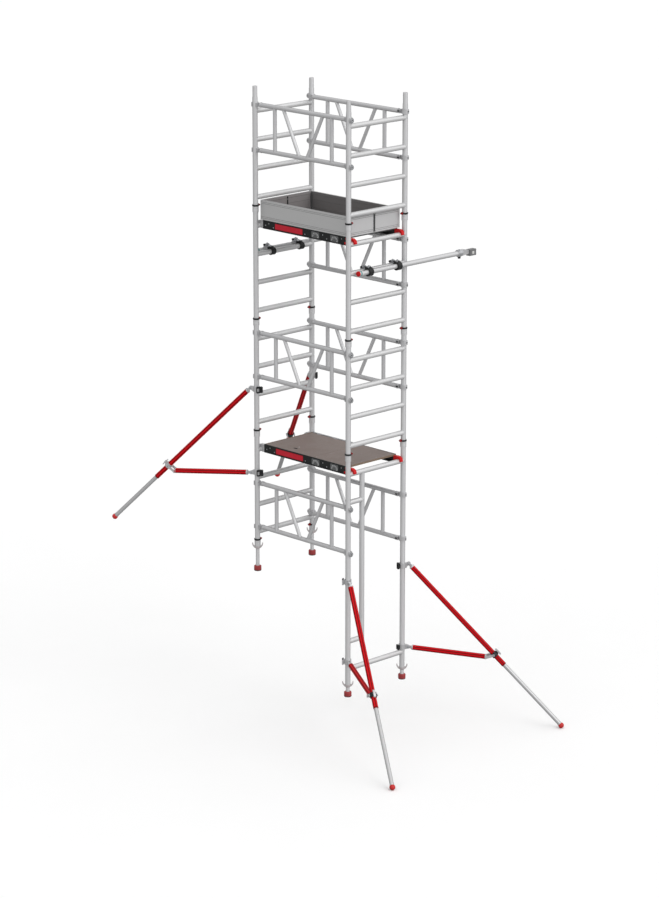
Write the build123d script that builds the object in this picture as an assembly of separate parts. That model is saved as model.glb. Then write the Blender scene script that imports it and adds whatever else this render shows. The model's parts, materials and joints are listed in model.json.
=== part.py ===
from build123d import *
import os
from collections import namedtuple
from math import sin, cos, degrees, atan2, hypot

# Narrow scaffold tower on a slope: ladder frames, guardrails, two platforms, folding toe boards,
# jack legs, four stabilisers and two wall ties. Millimetres.
# X runs along the decks (uphill end at -X), Y across the ladder frames (front at -Y), Z up.
# The origin lies in plan at the centre of the four uprights; Z = 0 is the level from which
# all heights are measured.

os.makedirs("parts", exist_ok=True)

UPHILL, DOWNHILL = -1, 1     # signs of X
FRONT, BACK = -1, 1          # signs of Y
SIDES = (-1, 1)
ENDS = {"uphill": UPHILL, "downhill": DOWNHILL}
CORNERS = {
    "uphill_front": (UPHILL, FRONT),
    "downhill_front": (DOWNHILL, FRONT),
    "downhill_back": (DOWNHILL, BACK),
    "uphill_back": (UPHILL, BACK),
}

BAY_LENGTH = 1277.5          # upright to upright along the deck
FRAME_WIDTH = 750.0          # upright to upright across a ladder frame
UPRIGHT_X, UPRIGHT_Y = BAY_LENGTH / 2, FRAME_WIDTH / 2
RUNG_PITCH = 280.0
RUNG_ZERO_Z = 6283.0         # rungs are counted downwards from here
R_UPRIGHT = 25.4
R_RUNG = 25.0


def rung_z(number):
    return RUNG_ZERO_Z - number * RUNG_PITCH


# ---------------------------------------------------------------- helpers
def cyl(start, end, radius):
    start, end = Vector(*start), Vector(*end)
    axis = end - start
    upward = (Align.CENTER, Align.CENTER, Align.MIN)
    return Plane(origin=start, z_dir=axis) * Cylinder(radius, axis.length, align=upward)


def cyl_x(x0, x1, y, z, radius):
    return cyl((x0, y, z), (x1, y, z), radius)


def cyl_y(x, y0, y1, z, radius):
    return cyl((x, y0, z), (x, y1, z), radius)


def cyl_z(x, y, z0, z1, radius):
    return cyl((x, y, z0), (x, y, z1), radius)


def pipe(start, end, radius, bore):
    """Tube; the bore's cutter overshoots both ends by 1 mm."""
    a, b = Vector(*start), Vector(*end)
    unit = (b - a).normalized()
    return cyl(start, end, radius) - cyl(tuple(a - unit), tuple(b + unit), bore)


def block(x0, x1, y0, y1, z0, z1):
    centre = Pos((x0 + x1) / 2, (y0 + y1) / 2, (z0 + z1) / 2)
    return centre * Box(abs(x1 - x0), abs(y1 - y0), abs(z1 - z0))


def prism_xz(points, y0, y1):
    """Polygon given in X and Z, extruded along Y from y0 to y1."""
    face = make_face(Polyline(*[(x, y0, z) for x, z in points], close=True))
    return extrude(face, amount=y1 - y0, dir=(0, 1, 0))


def prism_yz(points, x0, x1):
    """Polygon given in Y and Z, extruded along X from x0 to x1."""
    face = make_face(Polyline(*[(x0, y, z) for y, z in points], close=True))
    return extrude(face, amount=x1 - x0, dir=(1, 0, 0))


def largest(shape):
    return max(shape.solids(), key=lambda solid: solid.volume)


def solids_of(shapes):
    found = []
    for shape in shapes:
        if isinstance(shape, (list, tuple, ShapeList)):
            found += solids_of(shape)
        else:
            found += list(shape.solids())
    return found


def save(name, *shapes):
    solids = solids_of(shapes)
    piece = Compound(solids) if len(solids) > 1 else solids[0]
    export_step(piece, f"parts/{name}.step")


# ---------------------------------------------------------------- ladder frames
FRAME_RUNGS = 4
FRAME_PITCH = FRAME_RUNGS * RUNG_PITCH
SHOULDER_NUMBER = 0.52       # top of the highest uprights, on the rung count
SHOULDER_OFFSET = (1 - SHOULDER_NUMBER) * RUNG_PITCH   # top rung to the top of the upright
LADDER_COUNT = {UPHILL: 4, DOWNHILL: 3}
UPRIGHT_BORE = 23.4
RUNG_BORE = 23.0
R_BELL = 30.0                # swaged socket at a frame's lower end
BELL_HEIGHT = 60.0
BELL_TAPER = 5.0
R_SPIGOT = 22.9              # joint spigot that the next frame slides over
SPIGOT_BORE = 19.5
SPIGOT_LENGTH = 104.0
SPIGOT_CHAMFER = 3.0
SPIGOT_INSERT = 90.0         # length pressed into the upright
SPIGOT_HOLE_Z = 82.0         # cross hole above the shoulder
R_SPIGOT_HOLE = 4.0


def joint_z(frames_down):
    """Shoulder height after so many frames, counted from the top."""
    return rung_z(SHOULDER_NUMBER + FRAME_RUNGS * frames_down)


def upright(x, y, z0, z1, bell=True):
    """Tower tube with its swaged socket below and its pressed-in spigot above."""
    body = cyl_z(x, y, z0, z1, R_UPRIGHT)
    if bell:
        body += cyl_z(x, y, z0, z0 + BELL_HEIGHT - BELL_TAPER, R_BELL)
        taper_z = z0 + BELL_HEIGHT - BELL_TAPER / 2
        body += Pos(x, y, taper_z) * Cone(R_BELL, R_UPRIGHT, BELL_TAPER)
    body -= cyl_z(x, y, z0 - 1, z1 - SPIGOT_INSERT, UPRIGHT_BORE)
    body -= cyl_z(x, y, z1 - SPIGOT_INSERT - 1, z1 + 1, SPIGOT_BORE)
    tip = z1 + SPIGOT_LENGTH
    spigot = cyl_z(x, y, z1, tip - SPIGOT_CHAMFER, R_SPIGOT)
    chamfer = Cone(R_SPIGOT, R_SPIGOT - SPIGOT_CHAMFER, SPIGOT_CHAMFER)
    spigot += Pos(x, y, tip - SPIGOT_CHAMFER / 2) * chamfer
    body += spigot
    body -= cyl_z(x, y, z1 - SPIGOT_INSERT - 1, tip + 1, SPIGOT_BORE)
    body -= cyl_y(x, y - 30, y + 30, z1 + SPIGOT_HOLE_Z, R_SPIGOT_HOLE)
    return body


def rung(x, z, far_y=UPRIGHT_Y, far_radius=R_UPRIGHT):
    """Tube from the front upright to far_y, coped round the uprights at both ends."""
    tube = pipe((x, -UPRIGHT_Y, z), (x, far_y, z), R_RUNG, RUNG_BORE)
    for y, radius in ((-UPRIGHT_Y, R_UPRIGHT), (far_y, far_radius)):
        tube -= cyl_z(x, y, z - 60, z + 60, radius)
    return tube


def ladder_frame(x, top):
    uprights = [upright(x, y, top - FRAME_PITCH, top) for y in (-UPRIGHT_Y, UPRIGHT_Y)]
    rungs = [rung(x, top - SHOULDER_OFFSET - i * RUNG_PITCH) for i in range(FRAME_RUNGS)]
    return uprights + rungs


for end, sx in ENDS.items():
    count = LADDER_COUNT[sx]
    for i in range(count):
        frame = ladder_frame(sx * UPRIGHT_X, joint_z(count - 1 - i))
        save(f"{end}_ladder_frame_{i + 1}", frame)

# ---------------------------------------------------------------- walk-through frame
WALK_TOP = joint_z(LADDER_COUNT[DOWNHILL])
WALK_BOTTOM = WALK_TOP - 2 * FRAME_PITCH - 12.0
WALK_POST_Y = -188.0


def walk_through_frame():
    """The middle rungs stop at a short post, so that a person can step through."""
    x = UPRIGHT_X
    parts = [upright(x, y, WALK_BOTTOM, WALK_TOP, bell=False) for y in (-UPRIGHT_Y, UPRIGHT_Y)]
    parts += [rung(x, rung_z(13)), rung(x, rung_z(20))]
    top, bottom = rung_z(13), rung_z(19) - R_RUNG
    post = pipe((x, WALK_POST_Y, bottom), (x, WALK_POST_Y, top), R_RUNG, RUNG_BORE)
    post -= cyl_y(x, WALK_POST_Y - 60, WALK_POST_Y + 60, top, R_RUNG)
    parts.append(post)
    parts += [rung(x, rung_z(number), WALK_POST_Y, R_RUNG) for number in (14, 19)]
    return parts


save("downhill_walk_through_frame", walk_through_frame())

# ---------------------------------------------------------------- collars and clips at the joints
R_COLLAR = 33.0
COLLAR_HEIGHT = 14.0
CLIP_HALF_WIDTH = 9.0
# distance from the upright's axis towards the other upright, height above the collar's top
CLIP_PROFILE = [
    (27.0, 0), (27.0, 7), (36.0, 7), (53.0, -2),
    (53.0, -9), (45.0, -16), (33.4, -16), (33.4, 0),
]


def collar(x, y, z):
    return pipe((x, y, z), (x, y, z + COLLAR_HEIGHT), R_COLLAR, R_UPRIGHT)


def lever_clip(x, y, sy, top):
    points = [(y - sy * inward, top + up) for inward, up in CLIP_PROFILE]
    return prism_yz(points, x - CLIP_HALF_WIDTH, x + CLIP_HALF_WIDTH)


collars, clips = [], []
for sx, count in LADDER_COUNT.items():
    for frames_down in range(1, count + 1):
        z = joint_z(frames_down) + BELL_HEIGHT
        for sy in SIDES:
            x, y = sx * UPRIGHT_X, sy * UPRIGHT_Y
            collars.append(collar(x, y, z))
            clips.append(lever_clip(x, y, sy, z + COLLAR_HEIGHT))
save("joint_collars", collars)
save("joint_clips", clips)

# ---------------------------------------------------------------- guardrail frames
R_RAIL, RAIL_BORE = 22.0, 20.0
R_POST, POST_BORE = 19.0, 17.0
R_BRACE, BRACE_BORE = 17.0, 15.0
RAIL_Y = 350.0               # just inside the uprights
RAIL_END = UPRIGHT_X - 62.0
POST_X = 388.0
BRACE_TOP_X = 272.0
BRACE_LOW_X = 50.0
R_CLAW = 38.0
CLAW_HALF = 21.5
CLAW_ARM = 13.0              # reach of the arms outward past the upright's axis
CLAW_BORE = 25.6
SHANK_HALF = 19.0            # square shank between claw and rail
# piece: side, lower rail height, upper rail height
GUARDRAILS = {
    "front_low": (FRONT, 1853.0, 2299.0),
    "front_middle": (FRONT, 3382.0, 3822.0),
    "front_top": (FRONT, 5622.0, 6062.0),
    "back_low": (BACK, 1853.0, 2299.0),
    "back_middle": (BACK, 3382.0, 3822.0),
    "back_below_deck": (BACK, 4391.0, 4832.0),
    "back_top": (BACK, 5622.0, 6062.0),
}


def guardrail_claw(side, sx, z):
    """U-shaped cast claw that hooks round the upright from the inside."""
    x, y, rail_y = sx * UPRIGHT_X, side * UPRIGHT_Y, side * RAIL_Y
    z0, z1 = z - CLAW_HALF, z + CLAW_HALF
    claw = cyl_z(x, y, z0, z1, R_CLAW)
    claw -= block(x - 60, x + 60, y, y + side * 60, z - 40, z + 40)
    for s in SIDES:
        claw += block(x + s * 20.0, x + s * R_CLAW, y, y + side * CLAW_ARM, z0, z1)
    claw += block(sx * RAIL_END, sx * (UPRIGHT_X - 30), rail_y - SHANK_HALF, rail_y + SHANK_HALF,
                  z - SHANK_HALF, z + SHANK_HALF)
    claw -= block(x - CLAW_BORE, x + CLAW_BORE, y, y + side * 40.0, z - 40, z + 40)
    claw -= cyl_z(x, y, z - 40, z + 40, CLAW_BORE)
    if sx == -side:
        # round end plate beyond the upright
        claw += cyl_x(x + sx * (R_CLAW - 3), x + sx * (R_CLAW + 8), y, z, 24.0)
        return [claw]
    # small pin boss, and the spring latch's button on the shank's inner face
    claw += cyl_x(x + sx * (R_CLAW - 2), x + sx * (R_CLAW + 5), y, z, 8.0)
    button = block(sx * (RAIL_END + 8), sx * (RAIL_END + 26),
                   rail_y - side * SHANK_HALF, rail_y - side * (SHANK_HALF + 4), z - 4, z + 4)
    return [claw, button]


def guardrail(side, low, high):
    y = side * RAIL_Y
    rail_cutters = [cyl_x(-RAIL_END, RAIL_END, y, z, R_RAIL) for z in (low, high)]
    parts = [pipe((-RAIL_END, y, z), (RAIL_END, y, z), R_RAIL, RAIL_BORE) for z in (low, high)]
    for sx in SIDES:
        post = pipe((sx * POST_X, y, low), (sx * POST_X, y, high), R_POST, POST_BORE)
        brace = pipe((sx * BRACE_LOW_X, y, low), (sx * BRACE_TOP_X, y, high), R_BRACE, BRACE_BORE)
        for member in (post, brace):
            for cutter in rail_cutters:
                member -= cutter
            parts.append(largest(member))
        for z in (low, high):
            parts += guardrail_claw(side, sx, z)
    return parts


for place_name, row in GUARDRAILS.items():
    save(f"guardrail_{place_name}", guardrail(*row))

# ---------------------------------------------------------------- platforms
DECK_HALF_LENGTH = 580.0
DECK_HALF_WIDTH = 335.0
DECK_DEPTH = 85.0
DECK_TOP_ABOVE_RUNG = 61.0
DECK_TOPS = {name: rung_z(number) + DECK_TOP_ABOVE_RUNG
             for name, number in (("upper", 5), ("lower", 13))}
RIM = 8.0                    # width of the frame's rim round the boards
LEDGE = 28.0                 # how far in the ledge under the boards reaches
LEDGE_TOP, LEDGE_BOTTOM = 13.2, 17.2   # below the deck top
BAR_BOTTOM = 52.0
BAR_WALL = 3.0
CROSSBARS = ((-430.0, 40.0), (-260.0, 40.0), (-90.0, 40.0), (98.0, 60.0), (340.0, 40.0))  # x, width
PLY_THICKNESS = 12.0
PLY_DROP = 1.0               # ply surface below the deck top
PLY_EDGE = RIM + 0.5         # ply edge in from the outside of the frame
HATCH_X0, HATCH_X1 = -568.0, 96.0
HATCH_EDGE_Y = 305.0         # hinged edge of the hatch
HINGE_Y = 310.0
HINGE_DROP = 5.0             # hinge axis below the deck top
HINGE_XS = (-470.0, -236.0, -2.0)
HINGE_HALF = 30.0
R_KNUCKLE = 4.0
KNUCKLE_HALF = 10.0          # half length of the hatch's middle knuckle
R_HINGE_PIN = 1.9
PIN_CLEARANCE = 0.05
FINGER_X, FINGER_Y = -245.0, -225.0
FINGER_HALF, R_FINGER = 14.0, 8.0
CLAW_SEAT = R_RUNG + 0.3
CLAW_BACK = UPRIGHT_X - DECK_HALF_LENGTH
# distance outward from the rung's axis, height above it
DECK_CLAW_PROFILE = [
    (-CLAW_BACK, -22), (-CLAW_BACK, 50), (-30, 52), (4, 51), (30, 38), (40, 16),
    (40, 2), (CLAW_SEAT, 2), (CLAW_SEAT, 0), (-CLAW_SEAT, 0), (-CLAW_SEAT, -22),
]


def side_beam(top, s):
    length, width = DECK_HALF_LENGTH, DECK_HALF_WIDTH

    def strip(y0, y1, z0, z1):
        return block(-length, length, s * (width - y0), s * (width - y1), z0, z1)

    beam = strip(RIM, 4, top - DECK_DEPTH, top)
    beam += strip(RIM, 0, top - 8, top)
    beam += strip(30, 0, top - DECK_DEPTH, top - DECK_DEPTH + 10)
    beam += strip(LEDGE, RIM, top - LEDGE_BOTTOM, top - LEDGE_TOP)
    return beam


def end_edge(top, s):
    length, inside, ledge = DECK_HALF_LENGTH, DECK_HALF_WIDTH - RIM, DECK_HALF_WIDTH - LEDGE
    edge = block(s * (length - RIM), s * length, -inside, inside, top - LEDGE_BOTTOM, top)
    edge += block(s * (length - LEDGE), s * (length - RIM), -ledge, ledge,
                  top - LEDGE_BOTTOM, top - LEDGE_TOP)
    return edge


def crossbar(top, x, width):
    """Hollow bar under the boards."""
    x0, x1 = x - width / 2, x + width / 2
    inside, ledge, beyond = (DECK_HALF_WIDTH - inset for inset in (RIM, LEDGE, -8))
    bar = block(x0, x1, -ledge, ledge, top - BAR_BOTTOM, top - LEDGE_TOP)
    bar += block(x0, x1, -inside, inside, top - BAR_BOTTOM, top - LEDGE_BOTTOM)
    bar -= block(x0 + BAR_WALL, x1 - BAR_WALL, -beyond, beyond,
                 top - BAR_BOTTOM + BAR_WALL, top - LEDGE_BOTTOM - BAR_WALL)
    return bar


def deck_claw(top, sx, sy):
    """Claw that rests on the rung."""
    z = top - DECK_TOP_ABOVE_RUNG
    points = [(sx * (UPRIGHT_X + outward), z + up) for outward, up in DECK_CLAW_PROFILE]
    claw = prism_xz(points, *sorted((sy * (DECK_HALF_WIDTH - 36), sy * (DECK_HALF_WIDTH - 2))))
    y0, y1 = sy * (DECK_HALF_WIDTH - 60), sy * (DECK_HALF_WIDTH + 20)
    claw -= cyl_y(sx * UPRIGHT_X, y0, y1, z, CLAW_SEAT)
    return claw


def hinge_strip(top):
    """Fixed hinge leaf with its knuckles and pins."""
    strip = block(HATCH_X0, HATCH_X1, HINGE_Y + 5, DECK_HALF_WIDTH - RIM, top - 4, top)
    z = top - HINGE_DROP
    inner = KNUCKLE_HALF + 0.5
    for x in HINGE_XS:
        for x0, x1 in ((x - HINGE_HALF, x - inner), (x + inner, x + HINGE_HALF)):
            knuckle = cyl_x(x0, x1, HINGE_Y, z, R_KNUCKLE)
            knuckle += block(x0, x1, HINGE_Y, HINGE_Y + 6, z - R_KNUCKLE, z + R_KNUCKLE)
            strip += knuckle
        strip += cyl_x(x - HINGE_HALF, x + HINGE_HALF, HINGE_Y, z, R_HINGE_PIN)
    return strip


def deck_frame(top):
    parts = [side_beam(top, s) for s in SIDES]
    parts += [end_edge(top, s) for s in SIDES]
    parts += [crossbar(top, x, width) for x, width in CROSSBARS]
    parts += [deck_claw(top, sx, sy) for sx in SIDES for sy in SIDES]
    return parts + [hinge_strip(top)]


def deck_panel(top):
    surface, half_y = top - PLY_DROP, DECK_HALF_WIDTH - PLY_EDGE
    return block(HATCH_X1 + 3, DECK_HALF_LENGTH - PLY_EDGE, -half_y, half_y,
                 surface - PLY_THICKNESS, surface)


def deck_hatch(top):
    """Hatch board with a slotted finger hole, and its hinge knuckles."""
    surface = top - PLY_DROP
    under = surface - PLY_THICKNESS
    leaf = block(HATCH_X0 + 1, HATCH_X1, -(DECK_HALF_WIDTH - PLY_EDGE), HATCH_EDGE_Y,
                 under, surface)
    leaf -= block(FINGER_X - FINGER_HALF, FINGER_X + FINGER_HALF,
                  FINGER_Y - R_FINGER, FINGER_Y + R_FINGER, under - 1, surface + 1)
    for s in SIDES:
        leaf -= cyl_z(FINGER_X + s * FINGER_HALF, FINGER_Y, under - 1, surface + 1, R_FINGER)
    z = top - HINGE_DROP
    parts = [leaf]
    for x in HINGE_XS:
        x0, x1 = x - KNUCKLE_HALF, x + KNUCKLE_HALF
        knuckle = cyl_x(x0, x1, HINGE_Y, z, R_KNUCKLE)
        knuckle += block(x0, x1, HATCH_EDGE_Y, HINGE_Y, z - R_KNUCKLE, z + R_KNUCKLE)
        knuckle -= cyl_x(x0 - 1, x1 + 1, HINGE_Y, z, R_HINGE_PIN + PIN_CLEARANCE)
        parts.append(knuckle)
    return parts


for name, top in DECK_TOPS.items():
    save(f"{name}_deck_frame", deck_frame(top))
    save(f"{name}_deck_panel", deck_panel(top))
    save(f"{name}_deck_hatch", deck_hatch(top))

# ---------------------------------------------------------------- toe boards, upper platform
TOE_THICKNESS = 20.0
TOE_WALL = 2.5
TOE_OUT_X, TOE_OUT_Y = 605.0, 340.0    # outer faces of the end and long boards
TOE_IN_X, TOE_IN_Y = TOE_OUT_X - TOE_THICKNESS, TOE_OUT_Y - TOE_THICKNESS
TOE_Z0 = DECK_TOPS["upper"] + 1.5
TOE_Z1 = TOE_Z0 + 192.5
TOE_HINGE = 7.0              # corner hinge axis off the inner faces
CORNER_X, CORNER_Y = TOE_IN_X - TOE_HINGE, TOE_IN_Y - TOE_HINGE
MID_X = TOE_OUT_X + 6.0      # middle hinge axis
R_CORNER_KNUCKLE, R_CORNER_PIN = 5.5, 2.5
R_MID_KNUCKLE, R_MID_PIN = 5.0, 2.2
MID_GAP = 0.75               # end of a half board to the middle
GROOVE_ZS = (16.0, 30.0, 158.0, 172.0)
GROOVE_WIDTH, GROOVE_DEPTH = 3.0, 1.2
# knuckle spans, all in Z; the mating knuckle fills the gap less 1 mm at each end
LONG_KNUCKLES = ((TOE_Z0 + 12, TOE_Z0 + 42), (TOE_Z0 + 150, TOE_Z0 + 180))
MID_PAIR = ((TOE_Z0 + 10, TOE_Z0 + 66), (TOE_Z0 + 129, TOE_Z0 + 172))


def between(pair, gap=0.0):
    return pair[0][1] + gap, pair[1][0] - gap


def block_across(y0, y1, x0, x1, z0, z1):
    """Block given with its Y span first."""
    return block(x0, x1, y0, y1, z0, z1)


def toe_profile(slab, start, end, inner, outer):
    """Hollow open-ended board, grooved along its outer face; slab sets which way it runs."""
    s = 1 if outer > 0 else -1
    board = slab(start, end, inner, outer, TOE_Z0, TOE_Z1)
    start, end = start - 1, end + 1
    board -= slab(start, end, inner + s * TOE_WALL, outer - s * TOE_WALL,
                  TOE_Z0 + TOE_WALL, TOE_Z1 - TOE_WALL)
    for up in GROOVE_ZS:
        board -= slab(start, end, outer - s * GROOVE_DEPTH, outer + s,
                      TOE_Z0 + up, TOE_Z0 + up + GROOVE_WIDTH)
    return board


def long_board(s):
    parts = [toe_profile(block, -TOE_OUT_X, TOE_OUT_X, s * TOE_IN_Y, s * TOE_OUT_Y)]
    r = R_CORNER_KNUCKLE
    for sx in SIDES:
        x, y = sx * CORNER_X, s * CORNER_Y
        for z0, z1 in LONG_KNUCKLES:
            knuckle = cyl_z(x, y, z0, z1, r)
            parts.append(knuckle + block(x - r, x + r, y, s * TOE_IN_Y, z0, z1))
        parts.append(cyl_z(x, y, *between(LONG_KNUCKLES), R_CORNER_PIN))
    return parts


def half_board(sx, sy):
    """End board half; the front half carries the middle hinge's outer knuckles and pin."""
    start, end = sorted((sy * (TOE_IN_Y - 1), sy * MID_GAP))
    parts = [toe_profile(block_across, start, end, sx * TOE_IN_X, sx * TOE_OUT_X)]
    x, y = sx * CORNER_X, sy * CORNER_Y
    r = R_CORNER_KNUCKLE
    z0, z1 = between(LONG_KNUCKLES, 1)
    knuckle = cyl_z(x, y, z0, z1, r) + block(x, sx * TOE_IN_X, y - r, y + r, z0, z1)
    knuckle -= cyl_z(x, y, z0 - 1, z1 + 1, R_CORNER_PIN + PIN_CLEARANCE)
    parts.append(knuckle)

    has_pin = sy == FRONT
    face, mid = sx * TOE_OUT_X, sx * MID_X
    for z0, z1 in MID_PAIR if has_pin else (between(MID_PAIR, 1),):
        knuckle = cyl_z(mid, 0, z0, z1, R_MID_KNUCKLE)
        knuckle += block(face, mid, 0, sy * R_MID_KNUCKLE, z0, z1)
        if not has_pin:
            knuckle -= cyl_z(mid, 0, z0 - 1, z1 + 1, R_MID_PIN + PIN_CLEARANCE)
        parts.append(knuckle)
    # hinge leaf on the outer face
    parts.append(block(face, face + sx * 2, sy * 5.2, sy * 11.5, TOE_Z0 + 6, TOE_Z0 + 186))
    if has_pin:
        parts.append(cyl_z(mid, 0, *between(MID_PAIR), R_MID_PIN))
    return parts


for side_name, sy in (("front", FRONT), ("back", BACK)):
    save(f"toe_board_{side_name}", long_board(sy))
    for end, sx in ENDS.items():
        save(f"toe_board_{end}_{side_name}_half", half_board(sx, sy))

# ---------------------------------------------------------------- adjustable legs
R_SPINDLE, SPINDLE_BORE = 19.0, 16.0
SPINDLE_INSERT = 340.0
R_FOOT, FOOT_HEIGHT = 37.0, 54.0
FOOT_BASE, FOOT_CROWN = 10.0, 8.0      # heights of the two conical parts
FOOT_Z = {UPHILL: 1400.0, DOWNHILL: 400.0}
UPRIGHT_BOTTOM = {UPHILL: joint_z(LADDER_COUNT[UPHILL]), DOWNHILL: WALK_BOTTOM}
# distance out from the spindle's axis, height above the hub's top
WING_PROFILE = [
    (22, -25), (33, -21), (44, -8), (54, 10), (55, 30),
    (46, 30), (43, 14), (33, -1), (22, -1),
]


def jack_leg(x, y, sx):
    bottom = FOOT_Z[sx]
    base, top = bottom + FOOT_BASE, bottom + FOOT_HEIGHT
    spindle_top = UPRIGHT_BOTTOM[sx] + SPINDLE_INSERT
    spindle = pipe((x, y, base), (x, y, spindle_top), R_SPINDLE, SPINDLE_BORE)
    foot = Pos(x, y, bottom + FOOT_BASE / 2) * Cone(R_FOOT - 4, R_FOOT - 1, FOOT_BASE)
    foot += cyl_z(x, y, base, top - FOOT_CROWN, R_FOOT)
    foot += Pos(x, y, top - FOOT_CROWN / 2) * Cone(R_FOOT, R_FOOT - 6, FOOT_CROWN)
    foot -= cyl_z(x, y, base, top + 1, R_SPINDLE)
    return [spindle, foot]


def wing_nut(x, y, sx):
    """Conical hub with two raised wings, turned 45 degrees about the spindle."""
    top = UPRIGHT_BOTTOM[sx] - 0.5
    nut = cyl_z(x, y, top - 12, top, 29.0)
    nut += Pos(x, y, top - 20) * Cone(23.0, 29.0, 16)
    for s in SIDES:
        nut += prism_xz([(x + s * out, top + up) for out, up in WING_PROFILE], y - 5, y + 5)
    nut -= cyl_z(x, y, top - 40, top + 1, R_SPINDLE + 0.08)
    return Pos(x, y, 0) * Rot(0, 0, 45) * Pos(-x, -y, 0) * nut


for name, (sx, sy) in CORNERS.items():
    x, y = sx * UPRIGHT_X, sy * UPRIGHT_Y
    save(f"jack_leg_{name}", jack_leg(x, y, sx))
    save(f"jack_nut_{name}", wing_nut(x, y, sx))

# ---------------------------------------------------------------- stabilisers
# Built in a plane through the upright: local X points away from the upright, local Z is up.
# Points and directions in this plane are (x, z) pairs.
R_LEG, LEG_BORE = 25.0, 20.8           # outer tube of the leg, and the strut
TUBE_GROOVES, TUBE_GROOVE_WIDTH, TUBE_GROOVE_DEPTH = 6, 10.0, 2.2
R_INNER, INNER_BORE = 20.0, 17.5       # telescopic tube
INNER_TOP = 900.0            # its upper end, measured from the leg's pivot
R_BALL = 28.0
PIVOT_R = 62.0               # pivots, distance from the upright's axis
AXIS_R = 80.0                # the leg's axis passes this far out ...
AXIS_DROP = 8.0              # ... this far below the upper clamp's centre
R_PIVOT_PIN = 6.0
PIVOT_HOLE = R_PIVOT_PIN + PIN_CLEARANCE
R_CHEEK = 17.0
CHEEK_IN, CHEEK_OUT = 7.5, 14.0
CLAMP_BORE = R_UPRIGHT + 0.05
R_EYE = 12.0
EYE_HALF = 7.0
PLUG_LENGTH = 6.0
BUSH_LENGTH = 12.0
FORK_IN, FORK_OUT = 36.0, 43.0
FORK_BRIDGE = 8.0
UPPER_LOOP_HALF = 33.0

# clamp_z: nominal height of the upper clamp; strut: distance between the pivots
# foot: x and y offset from the upright, and height; lever: turn of the levers in degrees
# leg_end: end of the outer tube from its pivot; loop_half: half height of the lower lever
# past, below: the strut aims this far down the leg past the coupler, this far below its axis
# gap: the strut tube stops this short of there
# seat: lower clamp's centre above its pivot; drop: upper clamp's distance below clamp_z
# thumb: levers have a thumb piece beside the loop
Stabiliser = namedtuple(
    "Stabiliser", "clamp_z strut foot lever leg_end loop_half past below gap seat drop thumb")
STABILISERS = {
    "uphill_front": Stabiliser(3258.0, 862.0, (-1322.0, -722.0, 1828.0), 126.0, 1400.0, 33.0,
                               19.0, 55.0, 42.0, 8.0, 0.0, True),
    "downhill_front": Stabiliser(1568.0, 822.0, (1344.0, -737.0, 28.0), -118.0, 1330.0, 33.0,
                                 5.0, 41.0, 50.0, 0.0, 0.0, False),
    "downhill_back": Stabiliser(1587.0, 861.0, (1322.0, 893.0, 28.0), -140.0, 1372.0, 26.0,
                                5.0, 41.0, 60.0, 0.0, 12.0, False),
    "uphill_back": Stabiliser(3269.0, 871.0, (-1327.0, 771.0, 1828.0), -126.0, 1400.0, 33.0,
                              19.0, 55.0, 42.0, 8.0, 0.0, False),
}


def step(start, direction, ahead, aside=0.0):
    """Point ahead of start along direction, and aside to its left as seen with Z up."""
    (x, z), (dx, dz) = start, direction
    return x + dx * ahead - dz * aside, z + dz * ahead + dx * aside


def along(start, direction, ahead):
    x, z = step(start, direction, ahead)
    return x, 0.0, z


def rod(start, direction, s0, s1, radius):
    return cyl(along(start, direction, s0), along(start, direction, s1), radius)


def aim(start, end):
    """Unit direction and distance from start to end."""
    dx, dz = end[0] - start[0], end[1] - start[1]
    distance = hypot(dx, dz)
    return (dx / distance, dz / distance), distance


def cross_cyl(point, y0, y1, radius):
    return cyl_y(point[0], y0, y1, point[1], radius)


def clamp_lever(z, turn, half, thumb):
    """Closing lever with a finger loop."""
    loop = block(43, 55, -20, 20, z - half, z + half)
    loop = fillet(loop.edges().filter_by(Axis.X), 10)
    if thumb:
        opening = block(40, 60, -13.5, 11.5, z - 21, z + 15)
    else:
        opening = block(40, 60, -9.5, 9.5, z - half + 12, z + half - 12)
    opening = fillet(opening.edges().filter_by(Axis.X), 6)
    loop -= opening
    if thumb:
        piece = block(36, 55, 17, 46, z - half + 2, z + half - 2)
        piece = fillet(piece.edges().filter_by(Axis.X), 5)
        loop += piece
    return Rot(0, 0, turn) * loop


def clamp(z, pivot_z, turn, half, thumb):
    """Clamp with two cheeks that hold a pivot pin, and its lever."""
    body = cyl_z(0, 0, z - 25, z + 25, 34.0)
    body += block(28, 42, -14, 14, z - 22, z + 22)
    cheek = [(28, z - 25), (28, z + 25), (PIVOT_R, pivot_z + R_CHEEK), (PIVOT_R, pivot_z - R_CHEEK)]
    for s in SIDES:
        body += prism_xz(cheek, *sorted((s * CHEEK_IN, s * CHEEK_OUT)))
        body += cyl_y(PIVOT_R, s * CHEEK_IN, s * CHEEK_OUT, pivot_z, R_CHEEK)
    body += cyl_y(PIVOT_R, -18, 18, pivot_z, R_PIVOT_PIN)
    body += Rot(0, 0, turn) * block(28, 43, -12, 12, z - 20, z + 20)
    body -= cyl_z(0, 0, z - 60, z + 60, CLAMP_BORE)
    return [body, clamp_lever(z, turn, half, thumb)]


def tube_eye(pivot, direction, reach):
    """Flat eye round a pivot, with the plug that closes the tube's end."""
    outline = [step(pivot, direction, ahead, aside)
               for ahead, aside in ((0, R_EYE), (reach, 14), (reach, -14), (0, -R_EYE))]
    eye = prism_xz(outline, -EYE_HALF, EYE_HALF)
    eye += cross_cyl(pivot, -EYE_HALF, EYE_HALF, R_EYE)
    eye -= cross_cyl(pivot, -EYE_HALF - 1, EYE_HALF + 1, PIVOT_HOLE)
    return eye + rod(pivot, direction, reach, reach + PLUG_LENGTH, R_LEG)


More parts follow.
